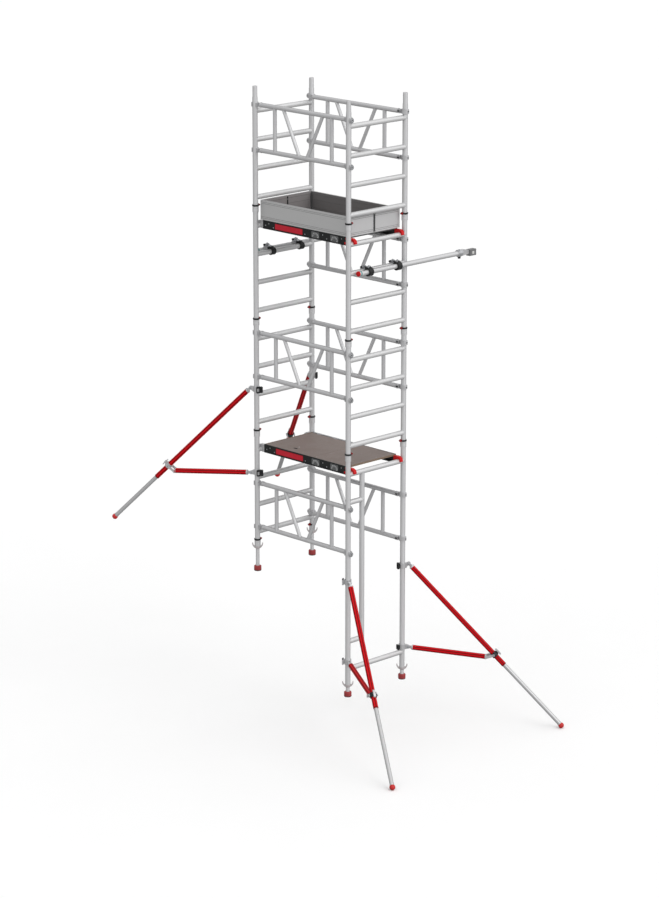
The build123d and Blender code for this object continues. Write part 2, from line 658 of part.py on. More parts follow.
def grooved_tube(start, direction, s0, s1):
    section = Circle(R_LEG) - Circle(LEG_BORE)
    groove = Rectangle(2 * TUBE_GROOVE_DEPTH, TUBE_GROOVE_WIDTH)
    for i in range(TUBE_GROOVES):
        section -= Rot(0, 0, 360 / TUBE_GROOVES * (i + 0.5)) * Pos(R_LEG, 0) * groove
    plane = Plane(origin=along(start, direction, s0), z_dir=(direction[0], 0, direction[1]),
                  x_dir=(0, 1, 0))
    return extrude(plane * section, amount=s1 - s0)


def outer_leg(pivot, slope, end):
    reach = 38
    bush_start = end - BUSH_LENGTH
    bush = pipe(along(pivot, slope, bush_start), along(pivot, slope, end), R_LEG, R_INNER + 0.06)
    return [tube_eye(pivot, slope, reach),
            grooved_tube(pivot, slope, reach + PLUG_LENGTH, bush_start), bush]


def inner_leg(pivot, slope, foot):
    length = aim(pivot, foot)[1]
    ball = Pos(foot[0], 0, foot[1]) * Sphere(R_BALL)
    start, end = along(pivot, slope, INNER_TOP), along(pivot, slope, length)
    return [largest(pipe(start, end, R_INNER, INNER_BORE) - ball), ball]


def strut(pivot, grip, slope, spec):
    """Tube aimed below the leg, with a fork that rises to straddle the coupler at grip."""
    direction, distance = aim(pivot, step(grip, slope, spec.past, -spec.below))
    tube_end = distance - spec.gap
    bridge_end = tube_end + FORK_BRIDGE
    reach = 36
    tube = grooved_tube(pivot, direction, reach + PLUG_LENGTH, tube_end)

    corners = ((tube_end, 15), (bridge_end, 15), (bridge_end, -15), (tube_end, -15))
    outline = [step(pivot, direction, *corner) for corner in corners]
    bridge = prism_xz(outline, -FORK_OUT, FORK_OUT)
    fork = bridge + rod(pivot, direction, tube_end, bridge_end, R_LEG)
    rise = aim(step(pivot, direction, tube_end + FORK_BRIDGE / 2), grip)[0]
    arm = [outline[0], step(grip, rise, 0, R_EYE), step(grip, rise, 0, -R_EYE), outline[3]]
    for s in SIDES:
        fork += prism_xz(arm, *sorted((s * FORK_IN, s * FORK_OUT)))
        fork += cross_cyl(grip, s * FORK_IN, s * FORK_OUT, R_EYE)
        fork -= cross_cyl(grip, s * 30, s * 50, PIVOT_HOLE)
    return [tube_eye(pivot, direction, reach), tube, fork]


# along the leg, above its axis
COUPLER_NECK = [(-14, 28), (-16, 46), (16, 46), (14, 28)]
COUPLER_LEVER = [(-36, 44), (-36, 50), (-30, 54), (34, 54), (40, 49), (40, 44)]


def leg_coupler(grip, slope):
    """Ring on the leg, with trunnions for the fork and a closing lever."""
    ring = rod(grip, slope, -23, 23, 33.0)
    for s in SIDES:
        ring += cross_cyl(grip, s * 26, s * 46, R_PIVOT_PIN)
    for profile, half in ((COUPLER_NECK, 9), (COUPLER_LEVER, 11)):
        ring += prism_xz([step(grip, slope, *point) for point in profile], -half, half)
    return ring - rod(grip, slope, -80, 80, R_LEG + 0.3)


def stabiliser(name, spec):
    """Save the five pieces of one stabiliser."""
    sx, sy = CORNERS[name]
    foot_x, foot_y, foot_z = spec.foot
    turn = degrees(atan2(foot_y, foot_x))
    place = Pos(sx * UPRIGHT_X, sy * UPRIGHT_Y, 0) * Rot(0, 0, turn)
    foot = (hypot(foot_x, foot_y), foot_z)
    axis_z = spec.clamp_z - AXIS_DROP
    alpha = atan2(foot[0] - AXIS_R, axis_z - foot_z)     # leg's angle from vertical
    slope = (sin(alpha), -cos(alpha))
    pivot = (PIVOT_R, axis_z + (AXIS_R - PIVOT_R) * cos(alpha) / sin(alpha))
    low_pivot = (PIVOT_R, pivot[1] - spec.strut)
    # the strut is as long as the distance between the pivots
    grip = step(pivot, slope, 2 * spec.strut * cos(alpha))

    clamps = clamp(spec.clamp_z - spec.drop, pivot[1], spec.lever, UPPER_LOOP_HALF, spec.thumb)
    clamps += clamp(low_pivot[1] + spec.seat, low_pivot[1], spec.lever, spec.loop_half, spec.thumb)
    pieces = {
        "clamps": clamps,
        "leg": outer_leg(pivot, slope, spec.leg_end),
        "inner_leg": inner_leg(pivot, slope, foot),
        "strut": strut(low_pivot, grip, slope, spec),
        "coupler": [leg_coupler(grip, slope)],
    }
    for piece, shapes in pieces.items():
        save(f"stabiliser_{piece}_{name}", [place * solid for solid in solids_of(shapes)])


for name, spec in STABILISERS.items():
    stabiliser(name, spec)

# ---------------------------------------------------------------- wall ties
R_TIE, TIE_BORE = 24.15, 21.0
TIE_X = UPRIGHT_X + 61.5
TIE_Z = {"uphill": 4615.0, "downhill": 4603.0}
TIE_Y0 = {"uphill": -312.0, "downhill": -298.0}
TIE_Y1 = 1084.0
TIE_CLAMP_YS = (-160.0, 223.0)
CLAMP_HALF = 26.0
R_RUNG_CLAMP, R_TIE_CLAMP = 36.0, 41.0
R_SOCKET = 33.0
# distance past the tube's end, height above its axis
NECK_PROFILE = [(10, -30), (10, 30), (40, 32), (112, 16), (112, -22), (60, -26)]


def wall_tie(x, y0, z):
    """Tube, end cap, end fitting that takes the wall eye, and the knob under its socket."""
    y = TIE_Y1
    tube = pipe((x, y0, z), (x, y, z), R_TIE, TIE_BORE)
    cap = cyl_y(x, y0 - 12, y0, z, R_TIE + 1.0)
    socket = cyl_y(x, y - 42, y + 12, z, R_SOCKET) - cyl_y(x, y - 43, y, z, R_TIE)
    neck = prism_yz([(y + past, z + up) for past, up in NECK_PROFILE], x - 14, x + 14)
    eye = block(x - 25, x + 25, y + 110, y + 200, z - 44, z + 18)
    eye -= cyl_x(x - 30, x + 30, y + 156, z - 13, 9.0)
    knob = cyl_z(x, y - 14, z - 33, z - 52, 14.0) - cyl_y(x, y - 42, y + 12, z, R_SOCKET)
    return [tube, cap, socket + neck + eye, knob]


def tie_coupler(rung_x, x, y, z):
    """Double clamp from rung to tie, with a lug and bolt above each half."""
    z_rung = rung_z(6)
    y0, y1 = y - CLAMP_HALF, y + CLAMP_HALF
    body = cyl_y(rung_x, y0, y1, z_rung, R_RUNG_CLAMP) + cyl_y(x, y0, y1, z, R_TIE_CLAMP)
    body += block(rung_x, x, y0, y1, z_rung - 16, z_rung + 30)
    body -= cyl_y(rung_x, y - 30, y + 30, z_rung, R_RUNG)
    body -= cyl_y(x, y - 30, y + 30, z, R_TIE + 0.07)
    parts = [largest(body)]
    for bolt_x, axis_z, radius in ((rung_x, z_rung, R_RUNG_CLAMP), (x, z, R_TIE_CLAMP)):
        top = axis_z + radius
        bolt = cyl_y(bolt_x, y - 50, y0, top + 6, 8.0)
        lug = block(bolt_x - 11, bolt_x + 11, y0, y + 12, top - 3, top + 15)
        lug -= cyl_y(bolt_x, y - 30, y + 30, axis_z, radius + 0.05)
        parts.append(lug + bolt)
    return parts


couplers = []
for end, sx in ENDS.items():
    save(f"wall_tie_{end}", wall_tie(sx * TIE_X, TIE_Y0[end], TIE_Z[end]))
    for y in TIE_CLAMP_YS:
        couplers += tie_coupler(sx * UPRIGHT_X, sx * TIE_X, y, TIE_Z[end])
save("wall_tie_couplers", couplers)
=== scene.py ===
import bpy
import json
import math
import numpy as np
from mathutils import Matrix, Vector


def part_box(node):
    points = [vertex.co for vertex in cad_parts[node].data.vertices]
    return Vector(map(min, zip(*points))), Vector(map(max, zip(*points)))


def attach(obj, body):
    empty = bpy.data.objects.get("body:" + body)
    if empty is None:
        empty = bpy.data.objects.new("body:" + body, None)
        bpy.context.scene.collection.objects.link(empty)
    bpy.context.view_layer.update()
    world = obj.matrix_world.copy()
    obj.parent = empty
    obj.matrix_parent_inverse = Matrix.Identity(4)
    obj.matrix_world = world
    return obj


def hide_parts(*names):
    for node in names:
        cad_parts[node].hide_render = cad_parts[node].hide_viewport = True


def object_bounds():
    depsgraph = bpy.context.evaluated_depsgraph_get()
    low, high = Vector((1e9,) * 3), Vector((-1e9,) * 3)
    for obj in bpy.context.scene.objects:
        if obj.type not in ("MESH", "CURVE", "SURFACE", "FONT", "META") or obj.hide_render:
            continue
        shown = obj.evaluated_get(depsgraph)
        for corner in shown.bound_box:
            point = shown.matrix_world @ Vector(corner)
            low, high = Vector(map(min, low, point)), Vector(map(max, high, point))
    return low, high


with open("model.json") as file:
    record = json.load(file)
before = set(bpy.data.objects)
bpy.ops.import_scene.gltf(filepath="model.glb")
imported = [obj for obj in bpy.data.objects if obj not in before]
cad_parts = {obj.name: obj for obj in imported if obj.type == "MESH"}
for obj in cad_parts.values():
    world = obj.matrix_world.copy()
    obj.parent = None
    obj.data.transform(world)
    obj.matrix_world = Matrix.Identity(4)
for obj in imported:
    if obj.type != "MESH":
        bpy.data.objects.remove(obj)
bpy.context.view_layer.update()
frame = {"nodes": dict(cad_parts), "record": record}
NODES = frame["nodes"]
J = {j["name"]: j for j in frame["record"]["behaviour"]["joints"]}
CORNERS = ("uphill_front", "downhill_front", "downhill_back", "uphill_back")
UP = {c: Vector(J["stabiliser_swing_" + c]["pos_m"]) for c in CORNERS}      # upright axes, at the upper clamps
XU = UP["downhill_front"].x
YU = UP["downhill_back"].y
R_TUBE, R_RUNG, PITCH = 0.0254, 0.025, 0.280
SPIGOT, SHOULDER = 0.104, 0.1344
Z = Vector((0, 0, 1))


# ------------------------------------------------------------------ node materials
class Graph:
    def __init__(self, name):
        self.mat = bpy.data.materials.new(name)
        self.mat.use_nodes = True
        self.t = self.mat.node_tree
        self.bsdf = self.t.nodes["Principled BSDF"]
        self.co = self.t.nodes.new("ShaderNodeTexCoord").outputs["Object"]

    def node(self, kind, **inputs):
        n = self.t.nodes.new(kind)
        for k, v in inputs.items():
            self.set(n.inputs[k.replace("_", " ")] if k.replace("_", " ") in n.inputs else n.inputs[int(k[1:])], v)
        return n

    def set(self, socket, v):
        if isinstance(v, bpy.types.NodeSocket):
            self.t.links.new(v, socket)
        elif isinstance(v, (tuple, list)) and len(v) == 3 and socket.type == "RGBA":
            socket.default_value = (*v, 1)
        else:
            socket.default_value = v

    def scaled(self, scale):
        m = self.node("ShaderNodeMapping", Vector=self.co)
        m.inputs["Scale"].default_value = scale
        return m.outputs[0]

    def noise(self, scale, detail=3.0, rough=0.55, vec=None):
        return self.node("ShaderNodeTexNoise", Vector=vec or self.co, Scale=scale, Detail=detail, Roughness=rough).outputs["Fac"]

    def voronoi(self, scale, vec=None, feature="F1", out="Distance"):
        n = self.node("ShaderNodeTexVoronoi", Vector=vec or self.co, Scale=scale)
        n.feature = feature
        return n.outputs[out]

    def facing(self, power):
        """0 where a surface faces the viewer, rising to 1 where it turns away."""
        n = self.node("ShaderNodeLayerWeight", Blend=0.5)
        return self.math("POWER", n.outputs["Facing"], power, True)

    def ramp(self, fac, stops):
        n = self.node("ShaderNodeValToRGB", Fac=fac)
        e = n.color_ramp.elements
        while len(e) < len(stops):
            e.new(0.5)
        for i, (p, c) in enumerate(stops):
            e[i].position = p
            e[i].color = (*c, 1) if isinstance(c, (tuple, list)) else (c, c, c, 1)
        return n.outputs["Color"]

    def math(self, op, a, b=0.0, clamp=False):
        n = self.t.nodes.new("ShaderNodeMath")
        n.operation, n.use_clamp = op, clamp
        self.set(n.inputs[0], a)
        self.set(n.inputs[1], b)
        return n.outputs[0]

    def mix(self, fac, a, b, blend="MIX"):
        n = self.t.nodes.new("ShaderNodeMix")
        n.data_type, n.blend_type = "RGBA", blend
        self.set(n.inputs[0], fac)
        self.set(n.inputs[6], a)
        self.set(n.inputs[7], b)
        return n.outputs[2]

    def done(self, color, rough, metallic=0.0, height=None, bump=0.1, dist=0.0005, **extra):
        self.set(self.bsdf.inputs["Base Color"], color)
        self.set(self.bsdf.inputs["Roughness"], rough)
        self.set(self.bsdf.inputs["Metallic"], metallic)
        for k, v in extra.items():
            self.set(self.bsdf.inputs[k.replace("_", " ")], v)
        if height is not None:
            b = self.node("ShaderNodeBump", Strength=bump, Distance=dist, Height=height)
            self.t.links.new(b.outputs[0], self.bsdf.inputs["Normal"])
        return self.mat


OUTLINE_SHADE = 0.92                                   # painted shade: how strongly tubes are painted darker towards their outline


def shade(c, k):
    return tuple(min(1.0, v * k) for v in c)


def extruded(name, base, axis, metallic=0.42, rough=0.40):
    """Mill-finish aluminium: die lines along the extrusion, handling scuffs and faint smudges, with painted shade
    darkening the colour towards the outline.
    """
    g = Graph(name)
    s = [420.0, 420.0, 420.0]
    s[axis] = 5.0
    lines = g.noise(1.0, 4, 0.6, g.scaled(s))
    smudge = g.noise(3.2, 4, 0.6)
    s2 = [160.0, 160.0, 160.0]
    s2[axis] = 14.0
    scuff = g.ramp(g.noise(1.0, 6, 0.7, g.scaled(s2)), [(0.60, 0.0), (0.72, 1.0)])
    c = g.mix(lines, shade(base, 0.93), shade(base, 1.05))
    c = g.mix(g.math("MULTIPLY", smudge, 0.22), c, shade(base, 0.80))
    c = g.mix(g.math("MULTIPLY", scuff, 0.16), c, shade(base, 1.18))
    # painted shade: the colour darkens where the surface turns away from the viewer
    c = g.mix(g.math("MULTIPLY", g.facing(2.0), OUTLINE_SHADE), c, shade(base, 0.22))
    r = g.math("ADD", g.math("MULTIPLY", smudge, 0.20), rough - 0.08)
    r = g.math("ADD", r, g.math("MULTIPLY", scuff, 0.10), True)
    h = g.math("ADD", lines, g.math("MULTIPLY", scuff, -0.4))
    return g.done(c, r, metallic, h, 0.09, 0.0004)


def cast(name, base, metallic=0.7, rough=0.48, grain=620.0):
    """Die-cast alloy: fine sand grain, soft blotches, brighter rubbed spots."""
    g = Graph(name)
    fine, blot = g.noise(grain, 3), g.noise(26.0, 4)
    rub = g.ramp(g.noise(70.0, 5, 0.7), [(0.58, 0.0), (0.70, 1.0)])
    c = g.mix(blot, shade(base, 0.84), shade(base, 1.1))
    c = g.mix(g.math("MULTIPLY", rub, 0.3), c, shade(base, 1.3))
    r = g.math("ADD", g.math("MULTIPLY", blot, 0.22), rough - 0.1, True)
    return g.done(c, r, metallic, fine, 0.16, 0.0004)


def plastic(name, base, rough=0.42, grain=900.0, bump=0.12, dust=0.10, spec=0.4):
    """Moulded plastic: spark-eroded grain, slight colour drift, dust lying in it."""
    g = Graph(name)
    fine, drift = g.noise(grain, 2), g.noise(14.0, 4)
    dusty = g.ramp(g.noise(38.0, 6, 0.7), [(0.52, 0.0), (0.75, 1.0)])
    c = g.mix(drift, shade(base, 0.85), shade(base, 1.16))
    c = g.mix(g.math("MULTIPLY", dusty, dust), c, (0.42, 0.40, 0.38))
    r = g.math("ADD", g.math("MULTIPLY", fine, 0.14), g.math("MULTIPLY", dusty, 0.15))
    r = g.math("ADD", r, rough - 0.08, True)
    return g.done(c, r, 0.0, fine, bump, 0.0003, Specular_IOR_Level=spec)


def powder(name, base, rough=0.42):
    """Powder coat over aluminium: orange peel, shallow scratches along the tube, chips near the clamps, with painted
    shade darkening the colour towards the outline.
    """
    g = Graph(name)
    peel, drift = g.noise(520.0, 2, 0.5), g.noise(7.0, 4)
    scr = g.ramp(g.noise(1.0, 6, 0.75, g.scaled((60, 60, 220))), [(0.66, 0.0), (0.74, 1.0)])
    c = g.mix(drift, shade(base, 0.88), shade(base, 1.10))
    c = g.mix(g.math("MULTIPLY", scr, 0.10), c, (0.50, 0.10, 0.09))
    r = g.math("ADD", g.math("MULTIPLY", drift, 0.16), g.math("MULTIPLY", scr, 0.2))
    r = g.math("ADD", r, rough - 0.06, True)
    h = g.math("ADD", peel, g.math("MULTIPLY", scr, -1.2))
    # painted shade: the colour darkens where the surface turns away from the viewer
    c = g.mix(g.math("MULTIPLY", g.facing(2.4), 0.6), c, shade(base, 0.35))
    return g.done(c, r, 0.0, h, 0.10, 0.0003, Specular_IOR_Level=0.14)


def rubber(name, base, rough=0.7):
    g = Graph(name)
    fine, worn = g.noise(480.0, 4, 0.7), g.noise(30.0, 5, 0.65)
    dusty = g.ramp(worn, [(0.45, 0.0), (0.72, 1.0)])
    c = g.mix(g.math("MULTIPLY", dusty, 0.32), base, shade(base, 1.7))
    c = g.mix(g.math("MULTIPLY", fine, 0.25), c, shade(base, 0.6))
    return g.done(c, g.math("ADD", g.math("MULTIPLY", fine, 0.2), rough - 0.1, True), 0.0, fine, 0.3, 0.0005)


def plywood():
    """Phenolic-film birch ply: brown film with a woven-mesh non-slip print, foot-worn paths."""
    g = Graph("film_faced_plywood")
    warp = g.noise(9.0, 3)
    v = g.node("ShaderNodeMapping", Vector=g.co)
    v.inputs["Scale"].default_value = (1, 1, 1)
    v.inputs["Rotation"].default_value = (0, 0, math.radians(45))
    wx = g.node("ShaderNodeTexWave", Vector=v.outputs[0], Scale=95.0, Distortion=0.6, Detail=1.0)
    wx.bands_direction = "X"
    wy = g.node("ShaderNodeTexWave", Vector=v.outputs[0], Scale=95.0, Distortion=0.6, Detail=1.0)
    wy.bands_direction = "Y"
    mesh = g.math("MAXIMUM", wx.outputs["Fac"], wy.outputs["Fac"])
    blot = g.noise(3.4, 5, 0.6)
    worn = g.ramp(g.noise(6.0, 6, 0.65), [(0.46, 0.0), (0.70, 1.0)])
    c = g.mix(blot, (0.178, 0.130, 0.112), (0.220, 0.166, 0.146))
    c = g.mix(g.math("MULTIPLY", mesh, 0.16), c, (0.11, 0.085, 0.075))
    c = g.mix(g.math("MULTIPLY", worn, 0.22), c, (0.30, 0.26, 0.24))
    r = g.math("ADD", g.math("MULTIPLY", worn, 0.18), 0.40)
    r = g.math("ADD", r, g.math("MULTIPLY", warp, 0.08), True)
    return g.done(c, r, 0.0, mesh, 0.30, 0.0008)


def veneer():
    """Edge of the plywood: thin alternating plies."""
    g = Graph("plywood_edge")
    w = g.node("ShaderNodeTexWave", Vector=g.co, Scale=105.0, Distortion=1.2, Detail=3.0)
    w.bands_direction = "Z"
    c = g.ramp(w.outputs["Fac"], [(0.25, (0.13, 0.085, 0.06)), (0.75, (0.33, 0.245, 0.17))])
    n = g.noise(90.0, 4)
    return g.done(g.mix(g.math("MULTIPLY", n, 0.4), c, (0.12, 0.09, 0.07)), 0.75, 0.0, w.outputs["Fac"], 0.3, 0.0006)


M = {
    "tube_z": extruded("tower_tube_vertical", (0.72, 0.72, 0.73), 2),
    "tube_y": extruded("tower_tube_rung", (0.74, 0.74, 0.745), 1),
    "tube_x": extruded("rail_tube_long", (0.69, 0.69, 0.70), 0),
    "post": extruded("rail_tube_post", (0.68, 0.68, 0.69), 2),
    "tie": extruded("tie_tube", (0.70, 0.70, 0.71), 1),
    "inner": extruded("telescopic_tube", (0.56, 0.56, 0.565), 2, 0.5, 0.38),
    "cast": cast("cast_alloy", (0.60, 0.60, 0.61)),
    "cast_dark": cast("cast_alloy_dark", (0.22, 0.22, 0.225), 0.5, 0.5),
    "nut": cast("cast_wing_nut", (0.66, 0.615, 0.62), 0.6, 0.42),
    "zinc": cast("zinc_plate", (0.50, 0.51, 0.53), 0.85, 0.34, 900.0),
    "black": plastic("black_moulding", (0.012, 0.013, 0.014), 0.42, 900.0, 0.12, 0.05, 0.3),
    "beam": plastic("black_beam", (0.014, 0.016, 0.016), 0.42, 700.0, 0.16, 0.04, 0.22),
    "latch_grey": plastic("latch_moulding", (0.115, 0.118, 0.120), 0.46),
    "soft_black": plastic("dark_moulding", (0.075, 0.078, 0.080), 0.5),
    "red_plastic": plastic("red_moulding", (0.56, 0.006, 0.008), 0.40, 800.0, 0.10, 0.03, 0.2),
    "clip": plastic("red_clip", (0.24, 0.010, 0.012), 0.42, 800.0, 0.10, 0.03, 0.2),
    "label": plastic("label_film", (0.56, 0.012, 0.030), 0.36, 1200.0, 0.03, 0.04, 0.25),
    "light_plastic": plastic("light_moulding", (0.62, 0.62, 0.60), 0.45),
    "teal": plastic("teal_band", (0.16, 0.34, 0.34), 0.45),
    "red": powder("red_powder_coat", (0.62, 0.001, 0.006)),
    # painted shade: dark red for the groove bottoms and bores of the red tubes
    "groove_painted_shade": powder("red_powder_coat_groove_painted_shade", (0.16, 0.0005, 0.001), 0.55),
    "red_rubber": rubber("red_rubber", (0.34, 0.040, 0.042)),
    "red_ball": rubber("red_ball_rubber", (0.56, 0.018, 0.018), 0.5),
    "dark_rubber": rubber("dark_rubber", (0.05, 0.035, 0.035)),
    "ply": plywood(), "edge": veneer(),
    # painted light: the boards' outer faces come as a darker shaded copy for the long boards and a lighter lit copy for
    # the end boards and plugs
    "toe_out_shaded_copy": extruded("toe_board_outer_painted_shade", (0.60, 0.60, 0.60), 0, 0.30, 0.45),
    "toe_out_y_lit_copy": extruded("toe_board_outer_end_painted_light", (0.64, 0.635, 0.64), 1, 0.30, 0.45),
    # painted shade: dark colour for the bottoms of the shallow grooves in the boards' outer faces
    "toe_groove_painted_shade": extruded("toe_board_groove_painted_shade", (0.20, 0.20, 0.20), 0, 0.3, 0.5),
    # painted highlight: light grey for the curved ribs of the deck latches
    "latch_painted_highlight": plastic("latch_rib_painted_highlight", (0.36, 0.365, 0.37), 0.42),
    # painted shade: near-black for the beads that draw shade lines along the boards' inner faces
    "toe_line_painted_shade": plastic("toe_board_line_painted_shade", (0.11, 0.108, 0.108), 0.5),
    # painted shade: the boards' inner faces are painted dark grey for the shade inside the boards, the end boards' copy
    # lighter for the side the light falls on
    "toe_in_painted_shade": extruded("toe_board_inner_painted_shade", (0.22, 0.214, 0.216), 0, 0.3, 0.55),
    "toe_in_y_painted_shade_lit_side": extruded("toe_board_inner_end_painted_shade_lit_side", (0.31, 0.292, 0.295), 1, 0.3, 0.55),
    "weld": cast("weld_bead", (0.66, 0.66, 0.67), 0.75, 0.40, 500.0),
}


def paint(node, base, *rules):
    """Gives the faces of a CAD node their own materials by where each face lies: (material, test on centres and normals)."""
    o = NODES[node]
    me = o.data
    n = len(me.polygons)
    c = np.zeros(n * 3)
    me.polygons.foreach_get("center", c)
    c = c.reshape(-1, 3)
    nn = np.zeros(n * 3)
    me.polygons.foreach_get("normal", nn)
    nn = nn.reshape(-1, 3)
    me.materials.clear()
    me.materials.append(M[base])
    idx = np.zeros(n, np.int32)
    for k, (m, test) in enumerate(rules):
        me.materials.append(M[m])
        idx[test(c, nn)] = k + 1
    me.polygons.foreach_set("material_index", idx)
    me.polygons.foreach_set("use_smooth", np.ones(n, bool))
    me.set_sharp_from_angle(angle=math.radians(32))
    me.update()


# ------------------------------------------------------------------ mesh building
def basis(d):
    d = Vector(d).normalized()
    a = Vector((0, 0, 1)) if abs(d.z) < 0.9 else Vector((1, 0, 0))
    u = a.cross(d).normalized()
    return u, d.cross(u), d


class Build:
    """Collects vertices and faces of one piece."""

    def __init__(self):
        self.v, self.f, self.m = [], [], []

    def add(self, verts, faces, mat=0):
        k = len(self.v)
        self.v += [tuple(p) for p in verts]
        self.f += [tuple(i + k for i in f) for f in faces]
        self.m += [mat] * len(faces)

    def lathe(self, origin, axis, profile, n=32, mat=0, closed=False):
        """Profile of (radius, height) turned about an axis; radius 0 ends in a pole."""
        u, w, d = basis(axis)
        o = Vector(origin)
        rows, verts = [], []
        for r, h in profile:
            if r < 1e-7:
                rows.append([len(verts)])
                verts.append(o + d * h)
            else:
                rows.append([len(verts) + i for i in range(n)])
                verts += [o + d * h + (u * math.cos(2 * math.pi * i / n) + w * math.sin(2 * math.pi * i / n)) * r for i in range(n)]
        faces = []
        pairs = list(zip(rows, rows[1:])) + ([(rows[-1], rows[0])] if closed else [])
        for a, b in pairs:
            for i in range(n):
                j = (i + 1) % n
                if len(a) == 1:
                    faces.append((a[0], b[j], b[i]))
                elif len(b) == 1:
                    faces.append((a[i], a[j], b[0]))
                else:
                    faces.append((a[i], a[j], b[j], b[i]))
        self.add(verts, faces, mat)

    def sweep(self, pts, r, n=8, closed=True, mat=0, ripple=0.0, count=0):
        """Round bead along a curve, with an optional ripple of its radius."""
        m = len(pts)
        pts = [Vector(p) for p in pts]
        verts, faces = [], []
        prev = None
        for i, p in enumerate(pts):
            a = pts[(i - 1) % m] if closed or i else pts[i]
            b = pts[(i + 1) % m] if closed or i < m - 1 else pts[i]
            d = (b - a).normalized()
            if prev is None:
                u, w, _ = basis(d)
            else:
                u = (prev - d * prev.dot(d)).normalized()
                w = d.cross(u)
            prev = u
            rr = r * (1 + ripple * math.sin(2 * math.pi * count * i / m))
            verts += [p + (u * math.cos(2 * math.pi * k / n) + w * math.sin(2 * math.pi * k / n)) * rr for k in range(n)]
        shift = 0
        if closed:
            # the last ring meets the first one at the nearest vertex
            last, first = verts[-n:], verts[:n]
            shift = min(range(n), key=lambda s: (last[0] - first[s]).length)
        for i in range(m if closed else m - 1):
            j = (i + 1) % m
            s = shift if closed and j == 0 else 0
            for k in range(n):
                a0, a1 = i * n + k, i * n + (k + 1) % n
                b0, b1 = j * n + (k + s) % n, j * n + (k + 1 + s) % n
                faces.append((a0, a1, b1, b0))
        if not closed:
            faces.append(tuple(range(n))[::-1])
            faces.append(tuple((m - 1) * n + k for k in range(n)))
        self.add(verts, faces, mat)

    def prism(self, origin, ax, ay, poly, depth, mat=0, bevel=0.0):
        """Polygon in the plane of ax and ay, raised by depth along ax x ay, with a bevelled top edge."""
        o, ax, ay = Vector(origin), Vector(ax).normalized(), Vector(ay).normalized()
        az = ax.cross(ay)
        area = sum(p[0] * q[1] - q[0] * p[1] for p, q in zip(poly, poly[1:] + poly[:1]))
        if area < 0:
            poly = poly[::-1]
        n = len(poly)
        cx, cy = sum(p[0] for p in poly) / n, sum(p[1] for p in poly) / n

        def ring(shrink, h):
            out = []
            for i in range(n):
                p, a, b = Vector(poly[i]), Vector(poly[i - 1]), Vector(poly[(i + 1) % n])
                e1, e2 = (p - a).normalized(), (b - p).normalized()
                n1, n2 = Vector((-e1.y, e1.x)), Vector((-e2.y, e2.x))
                t = n1 + n2
                t = t / max(0.35, t.length_squared) * 2
                q = p + t * shrink * 0.5 * (2 if t.length_squared < 1e-9 else 1)
                out.append(o + ax * q.x + ay * q.y + az * h)
            return out
        rings = [ring(0, 0)]
        if bevel > 0:
            rings += [ring(0, depth - bevel), ring(bevel * 0.3, depth - bevel * 0.3), ring(bevel, depth)]
        else:
            rings += [ring(0, depth)]
        verts = [p for r in rings for p in r]
        faces = [tuple(range(n))[::-1], tuple((len(rings) - 1) * n + i for i in range(n))]
        for k in range(len(rings) - 1):
            for i in range(n):
                j = (i + 1) % n
                faces.append((k * n + i, k * n + j, (k + 1) * n + j, (k + 1) * n + i))
        self.add(verts, faces, mat)

    def bolt(self, p, d, r, h, mat=0, washer=True):
        """Hexagon head on a washer, with a domed end of thread."""
        u, w, d = basis(d)
        p = Vector(p)
        if washer:
            self.lathe(p, d, [(r * 0.5, 0), (r * 1.35, 0), (r * 1.38, h * 0.12), (r * 1.3, h * 0.2), (r * 0.5, h * 0.2)], 24, mat, closed=True)
        poly = [(r * math.cos(math.pi / 3 * i), r * math.sin(math.pi / 3 * i)) for i in range(6)]
        self.prism(p + d * h * 0.2, u, w, poly, h * 0.62, mat, bevel=h * 0.12)
        self.lathe(p + d * h * 0.8, d, [(0, 0), (r * 0.5, 0), (r * 0.5, h * 0.14), (r * 0.4, h * 0.2), (0, h * 0.2)], 16, mat)

    def make(self, name, mats, body, slot, angle=35):
        me = bpy.data.meshes.new(name)
        me.from_pydata([tuple(p) for p in self.v], [], self.f)
        me.validate()
        for m in mats:
            me.materials.append(M[m])
        if len(mats) > 1 and len(me.polygons) == len(self.m):
            me.polygons.foreach_set("material_index", np.array(self.m, np.int32))
        me.polygons.foreach_set("use_smooth", np.ones(len(me.polygons), bool))
        me.set_sharp_from_angle(angle=math.radians(angle))
        me.update()
        o = bpy.data.objects.new(name, me)
        bpy.context.scene.collection.objects.link(o)
        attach(o, body)
        return o


def saddle(p, d, r, q, e, R, n=44):
    """Closed curve where a tube from p along d (radius r) meets the cylinder through q along e (radius R), on p's side."""
    u, w, d = basis(d)
    p, q, e = Vector(p), Vector(q), Vector(e).normalized()
    out = []
    for i in range(n):
        a = 2 * math.pi * i / n
        s = p + (u * math.cos(a) + w * math.sin(a)) * r
        dd = d - e * d.dot(e)
        mm = (s - q) - e * (s - q).dot(e)
        A, B, C = dd.dot(dd), 2 * dd.dot(mm), mm.dot(mm) - R * R
        disc = B * B - 4 * A * C
        t = (-B - math.sqrt(disc)) / (2 * A) if disc > 0 else -B / (2 * A)
        out.append(s + d * t)
    return out


def rounded(x0, x1, y0, y1, r, n=5):
    out = []
    for cx, cy, a0 in ((x1 - r, y1 - r, 0), (x0 + r, y1 - r, 90), (x0 + r, y0 + r, 180), (x1 - r, y0 + r, 270)):
        out += [(cx + r * math.cos(math.radians(a0 + 90 * i / n)), cy + r * math.sin(math.radians(a0 + 90 * i / n))) for i in range(n + 1)]
    return out


# ------------------------------------------------------------------ ladder frames
def away_from_uprights(c, n):
    return np.abs(c[:, 1]) < YU - 0.0262


